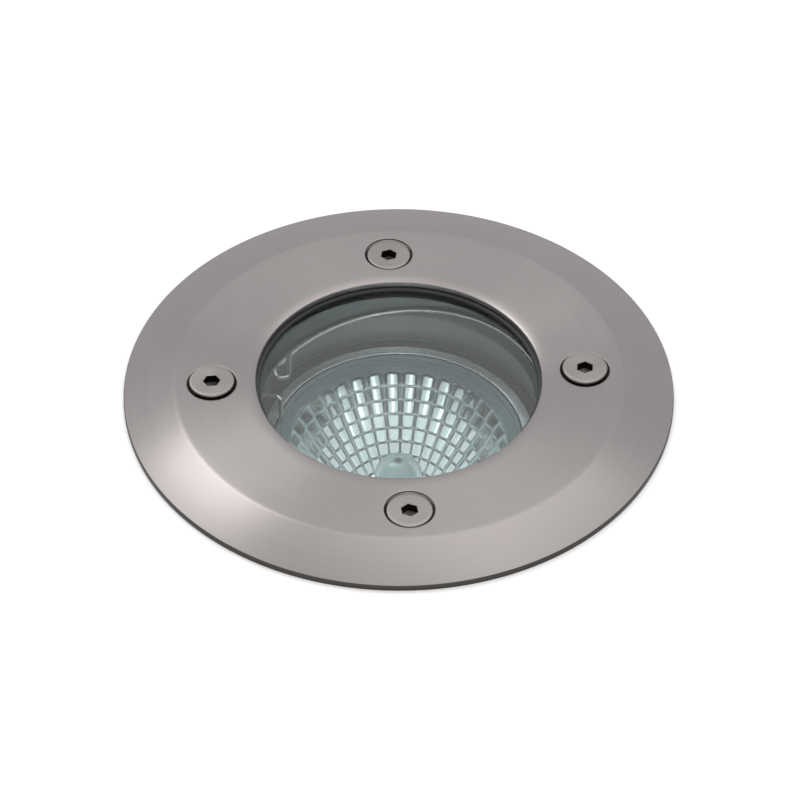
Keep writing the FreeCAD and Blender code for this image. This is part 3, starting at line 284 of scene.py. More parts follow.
def axis_distance(tree, place):
    """How far a place is from the upright axis."""
    level = add(tree, "ShaderNodeVectorMath", [place, (1, 1, 0)], operation="MULTIPLY")
    return add(tree, "ShaderNodeVectorMath", [level], operation="LENGTH").outputs["Value"]


# ---------------------------------------------------------------- finishes


# Clouds of tone are this many times as coarse as the grain, or as the lay of turned metal.
GRAIN_CLOUDS = 24
LAY_CLOUDS = 30
# The grooves' share in the tone of turned metal, and the turn that spreads its shine across them.
GROOVE_SHARE = 0.6
QUARTER_TURN = 0.25

# Where one finish gives way to the next, in mm.
WELL_MARGIN = 0.1
# Height of the painted shade band at the well's floor.
FLOOR_SHADE_BAND = 0.35
# Width of the painted shade band on the trim's upright outer edge.
RIM_SHADE_BAND = 0.15
# How far out and how far down the socket's painted shade lies.
SOCKET_REACH = 0.59 * SOCKET_FLATS
SOCKET_LAND = 0.15
COAT_MARGIN = 0.03


def colour(code):
    """A linear RGBA colour from an sRGB hex code."""
    channels = [int(code[at : at + 2], 16) / 255 for at in (1, 3, 5)]
    linear = [c / 12.92 if c <= 0.04045 else ((c + 0.055) / 1.055) ** 2.4 for c in channels]
    return (*linear, 1.0)


def surface(name, shader_maker, *args):
    """A material that one shader function makes."""
    made = bpy.data.materials.new(name)
    made.use_nodes = True
    made.node_tree.nodes.clear()
    add(made.node_tree, "ShaderNodeOutputMaterial", [shader_maker(made.node_tree, *args)])
    return made


def toned(tree, share, light, dark, rough):
    """Tone and roughness that follow one share from 0 to 1, as inputs of a shader."""
    tone = add(
        tree,
        "ShaderNodeMix",
        {"Factor": share, "A": colour(dark), "B": colour(light)},
        data_type="RGBA",
    )
    shine = add(
        tree,
        "ShaderNodeMapRange",
        {"Value": share, "From Min": 0.3, "From Max": 0.7, "To Min": rough[0], "To Max": rough[1]},
    )
    return {"Base Color": tone.outputs["Result"], "Roughness": shine.outputs["Result"]}


def grained(tree, light, dark, grain, relief, rough, metallic=0.0):
    """A surface whose tone, roughness and relief follow one grain, its size and relief in mm."""
    place = add(tree, "ShaderNodeTexCoord").outputs["Object"]
    fine = add(
        tree,
        "ShaderNodeTexNoise",
        {"Vector": place, "Scale": 1 / (grain * MM), "Detail": 3.0},
    )
    broad = add(
        tree,
        "ShaderNodeTexNoise",
        {"Vector": place, "Scale": 1 / (grain * GRAIN_CLOUDS * MM)},
    )
    half = add(tree, "ShaderNodeMath", [fine, 0.5], operation="MULTIPLY")
    both = add(tree, "ShaderNodeMath", [broad, 0.5, half], operation="MULTIPLY_ADD")
    inputs = toned(tree, both, light, dark, rough)
    if relief:
        inputs["Normal"] = add(
            tree,
            "ShaderNodeBump",
            {"Height": fine, "Distance": relief * MM, "Strength": 1.0},
        )
    inputs["Metallic"] = metallic
    return add(tree, "ShaderNodeBsdfPrincipled", inputs)


def turned(tree, light, dark, lay, rough, across, centre=""):
    """Metal cut on a lathe: tone and roughness run in rings, and its shine spreads across them."""
    place = add(tree, "ShaderNodeTexCoord").outputs["Object"]
    if centre:
        place = add(tree, "ShaderNodeAttribute", attribute_name=centre).outputs["Vector"]
    radius = axis_distance(tree, place)
    height = add(tree, "ShaderNodeSeparateXYZ", [place]).outputs["Z"]
    rings = add(tree, "ShaderNodeCombineXYZ", [radius, height])
    grooves = add(
        tree,
        "ShaderNodeTexNoise",
        {"Vector": rings, "Scale": 1 / (lay * MM), "Detail": 4.0, "Roughness": 0.65},
    )
    clouds = add(
        tree,
        "ShaderNodeTexNoise",
        {"Vector": place, "Scale": 1 / (lay * LAY_CLOUDS * MM), "Detail": 3.0},
    )
    ringed = add(tree, "ShaderNodeMath", [grooves, GROOVE_SHARE], operation="MULTIPLY")
    mixed = [clouds, 1 - GROOVE_SHARE, ringed]
    both = add(tree, "ShaderNodeMath", mixed, operation="MULTIPLY_ADD")
    upright = [(0, 0, 1), place]
    inputs = toned(tree, both, light, dark, rough)
    inputs["Tangent"] = add(tree, "ShaderNodeVectorMath", upright, operation="CROSS_PRODUCT")
    inputs["Metallic"] = 1.0
    inputs["Anisotropic"] = across
    inputs["Anisotropic Rotation"] = QUARTER_TURN
    return add(tree, "ShaderNodeBsdfPrincipled", inputs)


def well_casting(tree, cast, cut, shaded):
    """A casting whose well is turned down to the lamp's floor, with a dark, dull band at that
    floor as painted shade round the lamp ring.
    """
    place = add(tree, "ShaderNodeTexCoord").outputs["Object"]
    radius = axis_distance(tree, place)
    height = add(tree, "ShaderNodeSeparateXYZ", [place]).outputs["Z"]
    reach = (WELL_RADIUS + WELL_MARGIN) * MM
    floor = (LAMP_FLOOR - WELL_MARGIN) * MM
    shade_top = (LAMP_FLOOR + FLOOR_SHADE_BAND) * MM
    inside = add(tree, "ShaderNodeMath", [radius, reach], operation="LESS_THAN")
    above = add(tree, "ShaderNodeMath", [height, floor], operation="GREATER_THAN")
    in_well = add(tree, "ShaderNodeMath", [inside, above], operation="MULTIPLY")
    # Painted shade: the well's floor and the foot of its wall take the dark finish.
    low = add(tree, "ShaderNodeMath", [height, shade_top], operation="LESS_THAN")
    well = add(tree, "ShaderNodeMixShader", [low, turned(tree, *cut), grained(tree, *shaded)])
    return add(tree, "ShaderNodeMixShader", [in_well, grained(tree, *cast), well])


def shade_edged_steel(tree, face, edge):
    """A turned ring whose upright outer edge is painted darker than its face, as painted shade
    under the ring's edge.
    """
    radius = axis_distance(tree, add(tree, "ShaderNodeTexCoord").outputs["Object"])
    reach = (TRIM_RADIUS - RIM_SHADE_BAND) * MM
    # Painted shade: the outer edge, within this band of the rim, takes the darker steel.
    share = add(tree, "ShaderNodeMath", [radius, reach], operation="GREATER_THAN")
    return add(tree, "ShaderNodeMixShader", [share, turned(tree, *face), turned(tree, *edge)])


def shaded_socket_steel(tree, head, socket):
    """A screw's steel, its socket's walls dark: painted shade of the deep socket, with the dark
    film of cold heading.
    """
    place = add(tree, "ShaderNodeAttribute", attribute_name="own_place").outputs["Vector"]
    radius = axis_distance(tree, place)
    height = add(tree, "ShaderNodeSeparateXYZ", [place]).outputs["Z"]
    inside = add(tree, "ShaderNodeMath", [radius, SOCKET_REACH * MM], operation="LESS_THAN")
    below = add(tree, "ShaderNodeMath", [height, -SOCKET_LAND * MM], operation="LESS_THAN")
    above = add(tree, "ShaderNodeMath", [height, -SOCKET_DEPTH * MM], operation="GREATER_THAN")
    # Painted shade of the deep socket, with the cold-heading film: its walls take the dark finish.
    inner = add(tree, "ShaderNodeMath", [inside, below], operation="MULTIPLY")
    share = add(tree, "ShaderNodeMath", [inner, above], operation="MULTIPLY")
    return add(tree, "ShaderNodeMixShader", [share, turned(tree, *head), grained(tree, *socket)])


def coated_glass(tree, coat, bare):
    """Pressed glass: mirror coat on the facets, and a bare satin rim round them."""
    radius = axis_distance(tree, add(tree, "ShaderNodeTexCoord").outputs["Object"])
    reach = (FACET_OUTER + COAT_MARGIN) * MM
    share = add(tree, "ShaderNodeMath", [radius, reach], operation="GREATER_THAN")
    return add(tree, "ShaderNodeMixShader", [share, grained(tree, *coat), grained(tree, *bare)])


def clear(tree, tint, ior, rough=0.0):
    """Clear glass that bends what is seen through it, and lets lamp light straight in."""
    glass = add(
        tree,
        "ShaderNodeBsdfPrincipled",
        {
            "Base Color": colour(tint),
            "Roughness": rough,
            "IOR": ior,
            "Transmission Weight": 1.0,
        },
    )
    open_way = add(tree, "ShaderNodeBsdfTransparent", {"Color": colour(tint)})
    ray = add(tree, "ShaderNodeLightPath").outputs
    lighting = [ray["Is Shadow Ray"], ray["Is Diffuse Ray"]]
    straight = add(tree, "ShaderNodeMath", lighting, operation="MAXIMUM")
    return add(tree, "ShaderNodeMixShader", [straight, glass, open_way])


# Turned 316 stainless steel: warm grey, with fan-shaped highlights from its circular lay. The
# lay is really 0.05 mm apart and is drawn at 0.35 mm, so that it shows.
TRIM_STEEL = surface(
    "turned_stainless_steel",
    shade_edged_steel,
    ("#938E8D", "#858080", 0.35, (0.28, 0.34), 0.74),
    # The upright outer edge: darker steel as painted shade.
    ("#524E4B", "#423E3C", 0.35, (0.35, 0.45), 0.3),
)

# Cold-headed A2 stainless: smoother and a little yellower than the trim, with faint rings.
SCREW_STEEL = surface(
    "cold_headed_stainless_steel",
    shaded_socket_steel,
    ("#928E8B", "#817E7B", 0.3, (0.26, 0.34), 0.35, "own_place"),
    # The socket's walls: painted shade, with the dark film of cold heading.
    ("#3A3733", "#262421", 0.3, 0.0, (0.35, 0.5), 1.0),
)

# Toughened soda-lime glass, 5 mm: the pale green that the well takes on behind it.
LENS_GLASS = surface("toughened_soda_lime_glass", clear, "#F5FAFA", 1.52)

# Moulded EPDM rubber: near black and matt, with a soft shine along its rounded edge.
RUBBER = surface("moulded_epdm_rubber", grained, "#222222", "#161616", 0.2, 0.01, (0.38, 0.48))

# Injection-moulded polypropylene: black with a fine spark-eroded texture.
SLEEVE_PLASTIC = surface(
    "spark_textured_polypropylene", grained, "#2B2C2E", "#202123", 0.22, 0.03, (0.5, 0.62)
)

# Turned brass inserts: yellow metal with tool rings.
BRASS = surface("turned_brass", turned, "#C9A861", "#B28F4B", 0.25, (0.3, 0.4), 0.4)

# Die-cast aluminium, soft grey and slightly pebbled, and turned in the well above the lamp.
CAN_ALUMINIUM = surface(
    "die_cast_aluminium",
    well_casting,
    ("#A3A6A6", "#8C9090", 0.5, 0.03, (0.45, 0.6), 1.0),
    ("#9AA0A0", "#8A9090", 0.4, (0.4, 0.5), 0.5),
    # The well's floor round the lamp ring: dark as painted shade.
    ("#3C4041", "#323637", 0.4, 0.02, (0.5, 0.6), 1.0),
)

# Turned aluminium: the ring round the lamp, paler and shinier than the casting.
RING_ALUMINIUM = surface("turned_aluminium", turned, "#D5D9D9", "#A4A9A9", 0.3, (0.2, 0.34), 0.7)

# Drawn stainless spring wire: bright along its length.
SPRING_WIRE = surface(
    "drawn_spring_wire", grained, "#B8B6B0", "#A09E98", 0.15, 0.0, (0.2, 0.3), 1.0
)

# Pressed glass with a dichroic coat: a bright mirror with a faint blue-green cast, and a bare
# satin rim that the well's grey shows in.
MIRROR_COAT = surface(
    "dichroic_mirror_coat",
    coated_glass,
    ("#DFE7E6", "#D2DCDB", 0.6, 0.003, (0.03, 0.07), 1.0),
    ("#7F8C8E", "#758284", 0.5, 0.004, (0.3, 0.4), 0.0),
)

# Borosilicate front glass of the lamp: almost colourless.
LAMP_GLASS = surface("borosilicate_front_glass", clear, "#F8FCFC", 1.47)

# Fused quartz capsule: nearly colourless and faintly frosted, its wall showing as bright edges.
QUARTZ = surface("fused_quartz", clear, "#E3EEEE", 1.46, 0.2)

# Tungsten coil: dark grey metal.
TUNGSTEN = surface("coiled_tungsten", grained, "#8A8A8E", "#6C6C70", 0.1, 0.0, (0.35, 0.45), 1.0)

# Steatite ceramic: chalky off-white with a dry surface.
CERAMIC = surface("steatite_ceramic", grained, "#DEDCD2", "#CFCCC0", 0.3, 0.02, (0.6, 0.75))

# Nickel-plated contact pins: bright and slightly warm.
NICKEL = surface("nickel_plate", grained, "#C4C1B8", "#B2AFA6", 0.3, 0.0, (0.18, 0.26), 1.0)

# White silicone insulation on the lamp leads: soft and slightly waxy.
SILICONE = surface("silicone_insulation", grained, "#DAD8D0", "#CDCBC2", 0.4, 0.01, (0.45, 0.55))

# Natural polyamide terminal block: cream and faintly translucent.
POLYAMIDE = surface("natural_polyamide", grained, "#DCDACE", "#D0CDBF", 0.4, 0.01, (0.4, 0.5))

# Zinc-plated steel: cool bright screws.
ZINC = surface("zinc_plate", grained, "#BDBFBF", "#A9ABAD", 0.2, 0.004, (0.25, 0.35), 1.0)

# Nickel-plated brass cable gland: smooth hexagons with a warm shine.
GLAND_METAL = surface(
    "nickel_plated_brass", grained, "#C2BDB1", "#AFAA9E", 0.4, 0.004, (0.2, 0.3), 1.0
)


# ---------------------------------------------------------------- cover


def make_trim():
    """Turned ring: soft bevel, flat top, lip rolled down to the opening, and four countersinks."""
    bm = bmesh.new()
    margin, lip_steps, sides = 0.4, 10, 256
    rim = rounded(
        [
            (BEVEL_RADIUS - 1.5, TRIM_TOP),
            (BEVEL_RADIUS, TRIM_TOP, 4.0),
            (TRIM_RADIUS, GROUND + EDGE_HEIGHT, 0.3),
            (TRIM_RADIUS, GROUND, 0.2),
            (TRIM_RADIUS - 1, GROUND),
        ]
    )
    lip = [Vector((LIP_RADIUS + margin, TRIM_TOP))]
    for step in range(lip_steps + 1):
        turn = math.radians(90 * step / lip_steps)
        radius = LIP_RADIUS - (LIP_RADIUS - OPENING_RADIUS) * math.sin(turn)
        lip.append(Vector((radius, TRIM_TOP - LIP_DROP * (1 - math.cos(turn)))))
    under_lip = TRIM_TOP - LIP_THICKNESS
    lip += rounded(
        [
            (OPENING_RADIUS, under_lip + 0.5),
            (OPENING_RADIUS, under_lip, 0.15),
            (REBATE_RADIUS, under_lip),
            (REBATE_RADIUS, GROUND, 0.15),
            (REBATE_RADIUS + margin, GROUND),
        ]
    )
    rim_rings = revolve(bm, rim, sides)
    lip_rings = revolve(bm, lip, sides)
    mouth = TRIM_TOP - SINK_LAND
    throat = mouth - (SINK_RADIUS - THROUGH_RADIUS)
    sink = rounded(
        [
            (SINK_RADIUS + margin, TRIM_TOP),
            (SINK_RADIUS, TRIM_TOP, 0.12),
            (SINK_RADIUS, mouth),
            (THROUGH_RADIUS, throat),
            (THROUGH_RADIUS, GROUND),
            (THROUGH_RADIUS + margin, GROUND),
        ]
    )
    tops, unders = [], []
    for quarter in range(4):
        turn = math.radians(90 * quarter)
        centre = (SCREW_CIRCLE * math.cos(turn), SCREW_CIRCLE * math.sin(turn))
        rings = revolve(bm, sink, 64, centre)
        tops.append(rings[0])
        unders.append(rings[-1])
    fill(bm, rim_rings[0], lip_rings[0], *tops)
    fill(bm, rim_rings[-1], lip_rings[-1], *unders)
    trim = to_object("trim", to_mesh("trim", bm))
    seat(trim, "cover", "stainless_trim", TRIM_STEEL, "trim_ring")


def screw_form(name, length):
    """A countersunk screw with a hexagon socket and a cut thread, hanging down from z = 0."""
    bm = bmesh.new()
    sides, rows_in_pitch = 48, 6
    plain_neck, plain_end, tip_share = 1.0, 0.6, 0.7
    flank = HEAD_LAND + HEAD_RADIUS - SHANK_RADIUS
    start = -flank - plain_neck
    head = rounded(
        [
            (HEAD_RADIUS - 0.8, 0),
            (HEAD_RADIUS, 0, 0.25),
            (HEAD_RADIUS, -HEAD_LAND, 0.08),
            (SHANK_RADIUS, -flank, 0.3),
            (SHANK_RADIUS, start),
        ]
    )
    rings = revolve(bm, head, sides)
    corner = SOCKET_FLATS / math.sqrt(3)
    edge, cone = 0.1, 0.5
    socket = [(corner + edge, 0), (corner, -edge)]
    socket += [(corner, -SOCKET_DEPTH), (0, -SOCKET_DEPTH - cone)]
    socket_rings = revolve(bm, socket, 6)
    fill(bm, rings[0], socket_rings[0])

    rows = int((length + start - plain_end) / THREAD_PITCH * rows_in_pitch)
    above = rings[-1]
    for row in range(1, rows + 1):
        height = start - row * THREAD_PITCH / rows_in_pitch
        fade = min(1.0, row / rows_in_pitch, (rows - row) / rows_in_pitch + 0.5)
        ring = []
        for side in range(sides):
            phase = (row / rows_in_pitch + side / sides) % 1
            groove = THREAD_DEPTH * (1 - abs(2 * phase - 1)) * fade
            turn = 2 * math.pi * side / sides
            radius = SHANK_RADIUS - groove
            ring.append(bm.verts.new((radius * math.cos(turn), radius * math.sin(turn), height)))
        for side in range(sides):
            turn = (side + 1) % sides
            bm.faces.new((above[side], above[turn], ring[turn], ring[side]))
        above = ring
    tip = [bm.verts.new((v.co.x * tip_share, v.co.y * tip_share, -length)) for v in above]
    for side in range(sides):
        turn = (side + 1) % sides
        bm.faces.new((above[side], above[turn], tip[turn], tip[side]))
    bm.faces.new(tip)
    mesh = to_mesh(name, bm, 35)
    places = mesh.attributes.new("own_place", "FLOAT_VECTOR", "POINT")
    for vertex, place in zip(mesh.vertices, places.data):
        place.vector = vertex.co
    return to_object(name, mesh)


def screw_tree():
    """Copies of one screw on a circle: how many, from which angle, how high and how turned."""
    tree, given = shape_tree(
        "screws_on_a_circle",
        Screw=None,
        Count=2,
        Circle=0.0,
        Height=0.0,
        Start=0.0,
        Seed=0,
        Finish=SCREW_STEEL,
    )
    index = add(tree, "GeometryNodeInputIndex")
    share = add(tree, "ShaderNodeMath", [2 * math.pi, given["Count"]], operation="DIVIDE")
    angle = add(tree, "ShaderNodeMath", [index, share, given["Start"]], operation="MULTIPLY_ADD")
    place = round_axis(tree, angle, given["Circle"], given["Height"])
    points = add(tree, "GeometryNodePoints", {"Count": given["Count"], "Position": place})
    turn = add(
        tree,
        "FunctionNodeRandomValue",
        {"Max": (0, 0, 2 * math.pi), "Seed": given["Seed"]},
        data_type="FLOAT_VECTOR",
    )
    screw = add(tree, "GeometryNodeObjectInfo", {"Object": given["Screw"]})
    copies = add(
        tree,
        "GeometryNodeInstanceOnPoints",
        {"Points": points, "Instance": screw.outputs["Geometry"], "Rotation": turn},
    )
    finish_tree(tree, copies, given["Finish"])
    return tree


def make_screws():
    """Two short screws front and back, and two long ones left and right."""
    tree = screw_tree()
    for node, start, seed in (("trim_screws", math.pi / 2, 3), ("fixing_screws", 0.0, 8)):
        low, high = node_span(node)
        form = screw_form(node + "_form", high.z - low.z)
        mesh = grow(
            node + "_cut",
            tree,
            Screw=form,
            Count=2,
            Circle=SCREW_CIRCLE * MM,
            Height=high.z * MM,
            Start=start,
            Seed=seed,
            Finish=SCREW_STEEL,
        )
        bpy.data.objects.remove(form)
        screws = to_object(node + "_cut", mesh)
        seat(screws, "cover", "stainless_screw", SCREW_STEEL, node)


def make_lens():
    """Disc of glass with ground edges."""
    bm = bmesh.new()
    grind = 0.5
    radius, low, high = lens_high.x, lens_low.z, lens_high.z
    outline = rounded(
        [
            (0, low),
            (radius - grind, low),
            (radius, low + grind),
            (radius, high - grind),
            (radius - grind, high),
            (0, high),
        ]
    )
    revolve(bm, outline)
    lens = to_object("lens", to_mesh("lens", bm))
    seat(lens, "cover", "toughened_glass", LENS_GLASS, "lens_glass")


def make_gasket():
    """Rubber channel round the glass; its rounded inner edge shows as a thin bright line."""
    bm = bmesh.new()
    outer, low, high = gasket_high.x, gasket_low.z, gasket_high.z
    reach = OPENING_RADIUS - GASKET_REACH
    under = WELL_RADIUS + 0.3
    seam = (under + 0.5, low)
    outline = rounded(
        [
            seam,
            (outer, low, 0.2),
            (outer, high, 0.2),
            (reach, high, 0.4),
            (reach, high - GASKET_LIP, 0.15),
            (lens_high.x, high - GASKET_LIP, 0.1),
            (lens_high.x, low + GASKET_LIP, 0.1),
            (under, low + GASKET_LIP, 0.15),
            (under, low, 0.3),
            seam,
        ]
    )
    revolve(bm, outline[:-1], closed=True)
    gasket = to_object("glass_gasket", to_mesh("glass_gasket", bm))
    seat(gasket, "cover", "black_rubber", RUBBER, "lens_gasket")


# ---------------------------------------------------------------- lamp


def make_lamp_ring():
    """Turned ring that centres the lamp."""
    bm = bmesh.new()
    outer, low, high = ring_high.x, ring_low.z, ring_high.z
    seam = (outer - 1, low)
    outline = rounded(
        [
            seam,
            (outer, low, 0.2),
            (outer, high, 0.15),
            (RING_BORE, high, 0.15),
            (RING_BORE, LAMP_SEAT, 0.1),
            (RING_INNER, LAMP_SEAT, 0.2),
            (RING_INNER, low, 0.2),
            seam,
        ]
    )
    revolve(bm, outline[:-1], closed=True)
    ring = to_object("lamp_centring_ring", to_mesh("lamp_centring_ring", bm))
    seat(ring, "light_unit", "turned_aluminium", RING_ALUMINIUM, "lamp_ring")


def bowl_height(radius):
    """Height of the bowl's inside at a radius, in mm."""
    return BOWL_FLOOR + BOWL_DEPTH * (radius / BOWL_RADIUS) ** 2


def facet_tree():
    """Rows and columns of facets round the bowl, crowned across and stepped from row to row."""
    tree, given = shape_tree(
        "crowned_facets",
        Columns=FACET_COLUMNS,
        Rows=FACET_ROWS,
        Outer=0.0,
        Inner=0.0,
        Floor=0.0,
        Depth=0.0,
        Bowl=0.0,
        Crown=0.0,
        Taper=0.0,
        Step=0.0,
        Outermost=0.0,
        Finish=MIRROR_COAT,
    )

    # A flat grid with a cell for each facet, which keeps its column and row as it is rolled up.
    grid = add(
        tree,
        "GeometryNodeMeshGrid",
        {
            "Size X": given["Columns"],
            "Size Y": given["Rows"],
            "Vertices X": add(tree, "ShaderNodeMath", [given["Columns"], 1.0], operation="ADD"),
            "Vertices Y": add(tree, "ShaderNodeMath", [given["Rows"], 1.0], operation="ADD"),
        },
    )
    size = add(tree, "ShaderNodeCombineXYZ", [given["Columns"], given["Rows"]])
    flat = add(tree, "GeometryNodeInputPosition")
    cell = add(tree, "ShaderNodeVectorMath", [size, (0.5, 0.5, 0), flat], operation="MULTIPLY_ADD")
    kept = add(tree, "GeometryNodeCaptureAttribute", {"Geometry": grid})
    kept.capture_items.new("VECTOR", "Cell")
    tree.links.new(cell.outputs[0], kept.inputs["Cell"])
    column_row = add(tree, "ShaderNodeSeparateXYZ", [kept.outputs["Cell"]]).outputs
    column, row = column_row["X"], column_row["Y"]

    # The bowl: a parabola turned about the axis, its rows evenly spaced from the rim inwards.
    pitch = add(tree, "ShaderNodeMath", [2 * math.pi, given["Columns"]], operation="DIVIDE")
    angle = add(tree, "ShaderNodeMath", [column, pitch], operation="MULTIPLY")
    width = add(tree, "ShaderNodeMath", [given["Outer"], given["Inner"]], operation="SUBTRACT")
    row_width = add(tree, "ShaderNodeMath", [width, given["Rows"]], operation="DIVIDE")
    inset = add(tree, "ShaderNodeMath", [row, row_width], operation="MULTIPLY")
    radius = add(tree, "ShaderNodeMath", [given["Outer"], inset], operation="SUBTRACT")
    share = add(tree, "ShaderNodeMath", [radius, given["Bowl"]], operation="DIVIDE")
    squared = add(tree, "ShaderNodeMath", [share, share], operation="MULTIPLY")
    climb = add(tree, "ShaderNodeMath", [squared, given["Depth"]], operation="MULTIPLY")
    height = add(tree, "ShaderNodeMath", [climb, given["Floor"]], operation="ADD")
    bowl = add(
        tree,
        "GeometryNodeSetPosition",
        {
            "Geometry": kept.outputs["Geometry"],
            "Position": round_axis(tree, angle, radius, height),
        },
    )
    fine = add(tree, "GeometryNodeSubdivideMesh", {"Mesh": bowl, "Level": FACET_CUTS})

    # How far across and down its facet a vertex is, and whether it is on the facet's edge. The
    # nudge keeps a whole number from being cut down to the one before.
    nudge, on_edge = 1e-4, 1e-3
    within, edges = [], []
    for spot in (column, row):
        nudged = add(tree, "ShaderNodeMath", [spot, nudge], operation="ADD")
        part = add(tree, "ShaderNodeMath", [nudged], operation="FRACT")
        within.append(part)
        edges.append(add(tree, "ShaderNodeMath", [part, on_edge], operation="LESS_THAN"))
    across, down = within

    # An arch across each facet, 1 in its middle and lower towards the neck.
    beyond = add(tree, "ShaderNodeMath", [1.0, across], operation="SUBTRACT")
    arch = add(tree, "ShaderNodeMath", [across, beyond], operation="MULTIPLY")
    full_arch = add(tree, "ShaderNodeMath", [arch, 4.0], operation="MULTIPLY")
    inwards = add(tree, "ShaderNodeMath", [row, given["Rows"]], operation="DIVIDE")
    loss = add(tree, "ShaderNodeMath", [given["Taper"], -1.0], operation="MULTIPLY")
    tapered = add(tree, "ShaderNodeMath", [inwards, loss, 1.0], operation="MULTIPLY_ADD")
    whole_crown = add(tree, "ShaderNodeMath", [given["Crown"], full_arch], operation="MULTIPLY")
    crown = add(tree, "ShaderNodeMath", [whole_crown, tapered], operation="MULTIPLY")

    # A ramp down each facet, which drops back in its last cut.
    cuts = 2**FACET_CUTS
    steeper = add(tree, "ShaderNodeMath", [down, cuts / (cuts - 1)], operation="MULTIPLY")
    ramp = add(tree, "ShaderNodeMath", [steeper, 1.0], operation="MINIMUM")
    level = add(tree, "ShaderNodeMath", [ramp, 0.5], operation="SUBTRACT")
    outermost = add(tree, "ShaderNodeMath", [row, 1 - on_edge], operation="LESS_THAN")
    more = add(tree, "ShaderNodeMath", [outermost, given["Outermost"]], operation="MULTIPLY")
    grown = add(tree, "ShaderNodeMath", [more, 1.0], operation="ADD")
    step = add(tree, "ShaderNodeMath", [given["Step"], grown], operation="MULTIPLY")
    ramped = add(tree, "ShaderNodeMath", [step, level], operation="MULTIPLY")

    # Both stand on the parabola's own normal.
    square = add(tree, "ShaderNodeMath", [given["Bowl"], given["Bowl"]], operation="MULTIPLY")
    twice = add(tree, "ShaderNodeMath", [given["Depth"], -2.0], operation="MULTIPLY")
    slope = add(tree, "ShaderNodeMath", [twice, square], operation="DIVIDE")
    slopes = add(tree, "ShaderNodeCombineXYZ", [slope, slope])
    upwards = [add(tree, "GeometryNodeInputPosition"), slopes, (0, 0, 1)]
    steep = add(tree, "ShaderNodeVectorMath", upwards, operation="MULTIPLY_ADD")
    normal = add(tree, "ShaderNodeVectorMath", [steep], operation="NORMALIZE")
    relief = add(tree, "ShaderNodeMath", [crown, ramped], operation="ADD")
    lift = add(tree, "ShaderNodeVectorMath", {0: normal, "Scale": relief}, operation="SCALE")
    crowned = add(tree, "GeometryNodeSetPosition", {"Geometry": fine, "Offset": lift})
    smooth = add(
        tree,
        "GeometryNodeSetShadeSmooth",
        {"Geometry": crowned, "Shade Smooth": True},
        domain="FACE",
    )
    either = add(tree, "ShaderNodeMath", edges, operation="MAXIMUM")
    crisp = add(
        tree,
        "GeometryNodeSetShadeSmooth",
        {"Geometry": smooth, "Selection": either, "Shade Smooth": False},
        domain="EDGE",
    )
    finish_tree(tree, crisp, given["Finish"])
    return tree


def make_reflector():
    """Faceted glass bowl: crowned facets inside, and a rim, neck and smooth back round them."""
    facets = grow(
        "facets",
        facet_tree(),
        Columns=FACET_COLUMNS,
        Rows=FACET_ROWS,
        Outer=FACET_OUTER * MM,
        Inner=FACET_INNER * MM,
        Floor=BOWL_FLOOR * MM,
        Depth=BOWL_DEPTH * MM,
        Bowl=BOWL_RADIUS * MM,
        Crown=FACET_CROWN * MM,
        Taper=CROWN_TAPER,
        Step=FACET_STEP * MM,
        Outermost=OUTERMOST_STEP,
        Finish=MIRROR_COAT,
    )
    bm = bmesh.new()
    shoulder, neck_base = RING_INNER - 0.5, lamp_low.z
    cover_edge = cover_high.x + 0.1
    ledge, ledge_drop, throat_drop = FACET_OUTER + 0.4, 0.4, 0.2
    back_steps = 8

    def shell_height(radius):
        """Height of the bowl's back, a wall's thickness behind its inside."""
        return bowl_height(radius - BOWL_WALL * 0.75) - BOWL_WALL

    back = []
    for step in range(back_steps):
        radius = NECK_OUTER + (shoulder - NECK_OUTER) * step / back_steps
        back.append(Vector((radius, shell_height(radius))))
    rim = rounded(
        [
            (shoulder, LAMP_SEAT),
            (LAMP_RADIUS, LAMP_SEAT, 0.2),
            (LAMP_RADIUS, LAMP_FACE, 0.25),
            (cover_edge, LAMP_FACE, 0.15),
            (cover_edge, cover_low.z, 0.05),
            (ledge, cover_low.z, 0.1),
            (ledge, cover_low.z - ledge_drop),
        ]
    )
    neck = [Vector((NECK_RADIUS, neck_base)), Vector((NECK_OUTER, neck_base))]
    facet_edge, neck_edge = facet_ends(bm, facets)
    sides = len(facet_edge)
    rings = revolve(bm, neck + back + rim, sides)
    throat_top = bowl_height(FACET_INNER) - throat_drop
    throat = revolve(bm, [(NECK_RADIUS, throat_top)], sides)[0]
    for one, two in ((rings[-1], facet_edge), (neck_edge, throat), (throat, rings[0])):
        for side in range(sides):
            turn = (side + 1) % sides
            bm.faces.new((one[side], one[turn], two[turn], two[side]))
    shell = to_mesh("reflector_shell", bm)
    joined = bmesh.new()
    joined.from_mesh(facets)
    joined.from_mesh(shell)
    bmesh.ops.remove_doubles(joined, verts=joined.verts, dist=SEAM * MM)
    bmesh.ops.recalc_face_normals(joined, faces=joined.faces)
    mesh = bpy.data.meshes.new("reflector")
    joined.to_mesh(mesh)
    joined.free()
    reflector = to_object("reflector", mesh)
    seat(reflector, "light_unit", "dichroic_reflector", MIRROR_COAT, "lamp_reflector")


def facet_ends(bm, facets):
    """Copies of the facets' outermost and innermost vertices, in mm, each ring in order."""
    tree = bmesh.new()
    tree.from_mesh(facets)
    bmesh.ops.remove_doubles(tree, verts=tree.verts, dist=SEAM * MM)
    open_ends = [vertex.co / MM for vertex in tree.verts if vertex.is_boundary]
    tree.free()
    middle = (FACET_OUTER + FACET_INNER) / 2
    ends = []
    for beyond in (True, False):
        ring = [spot for spot in open_ends if (spot.xy.length > middle) == beyond]
        ring.sort(key=lambda spot: math.atan2(spot.y, spot.x + 1e-9) % (2 * math.pi))
        ends.append([bm.verts.new(spot) for spot in ring])
    return ends


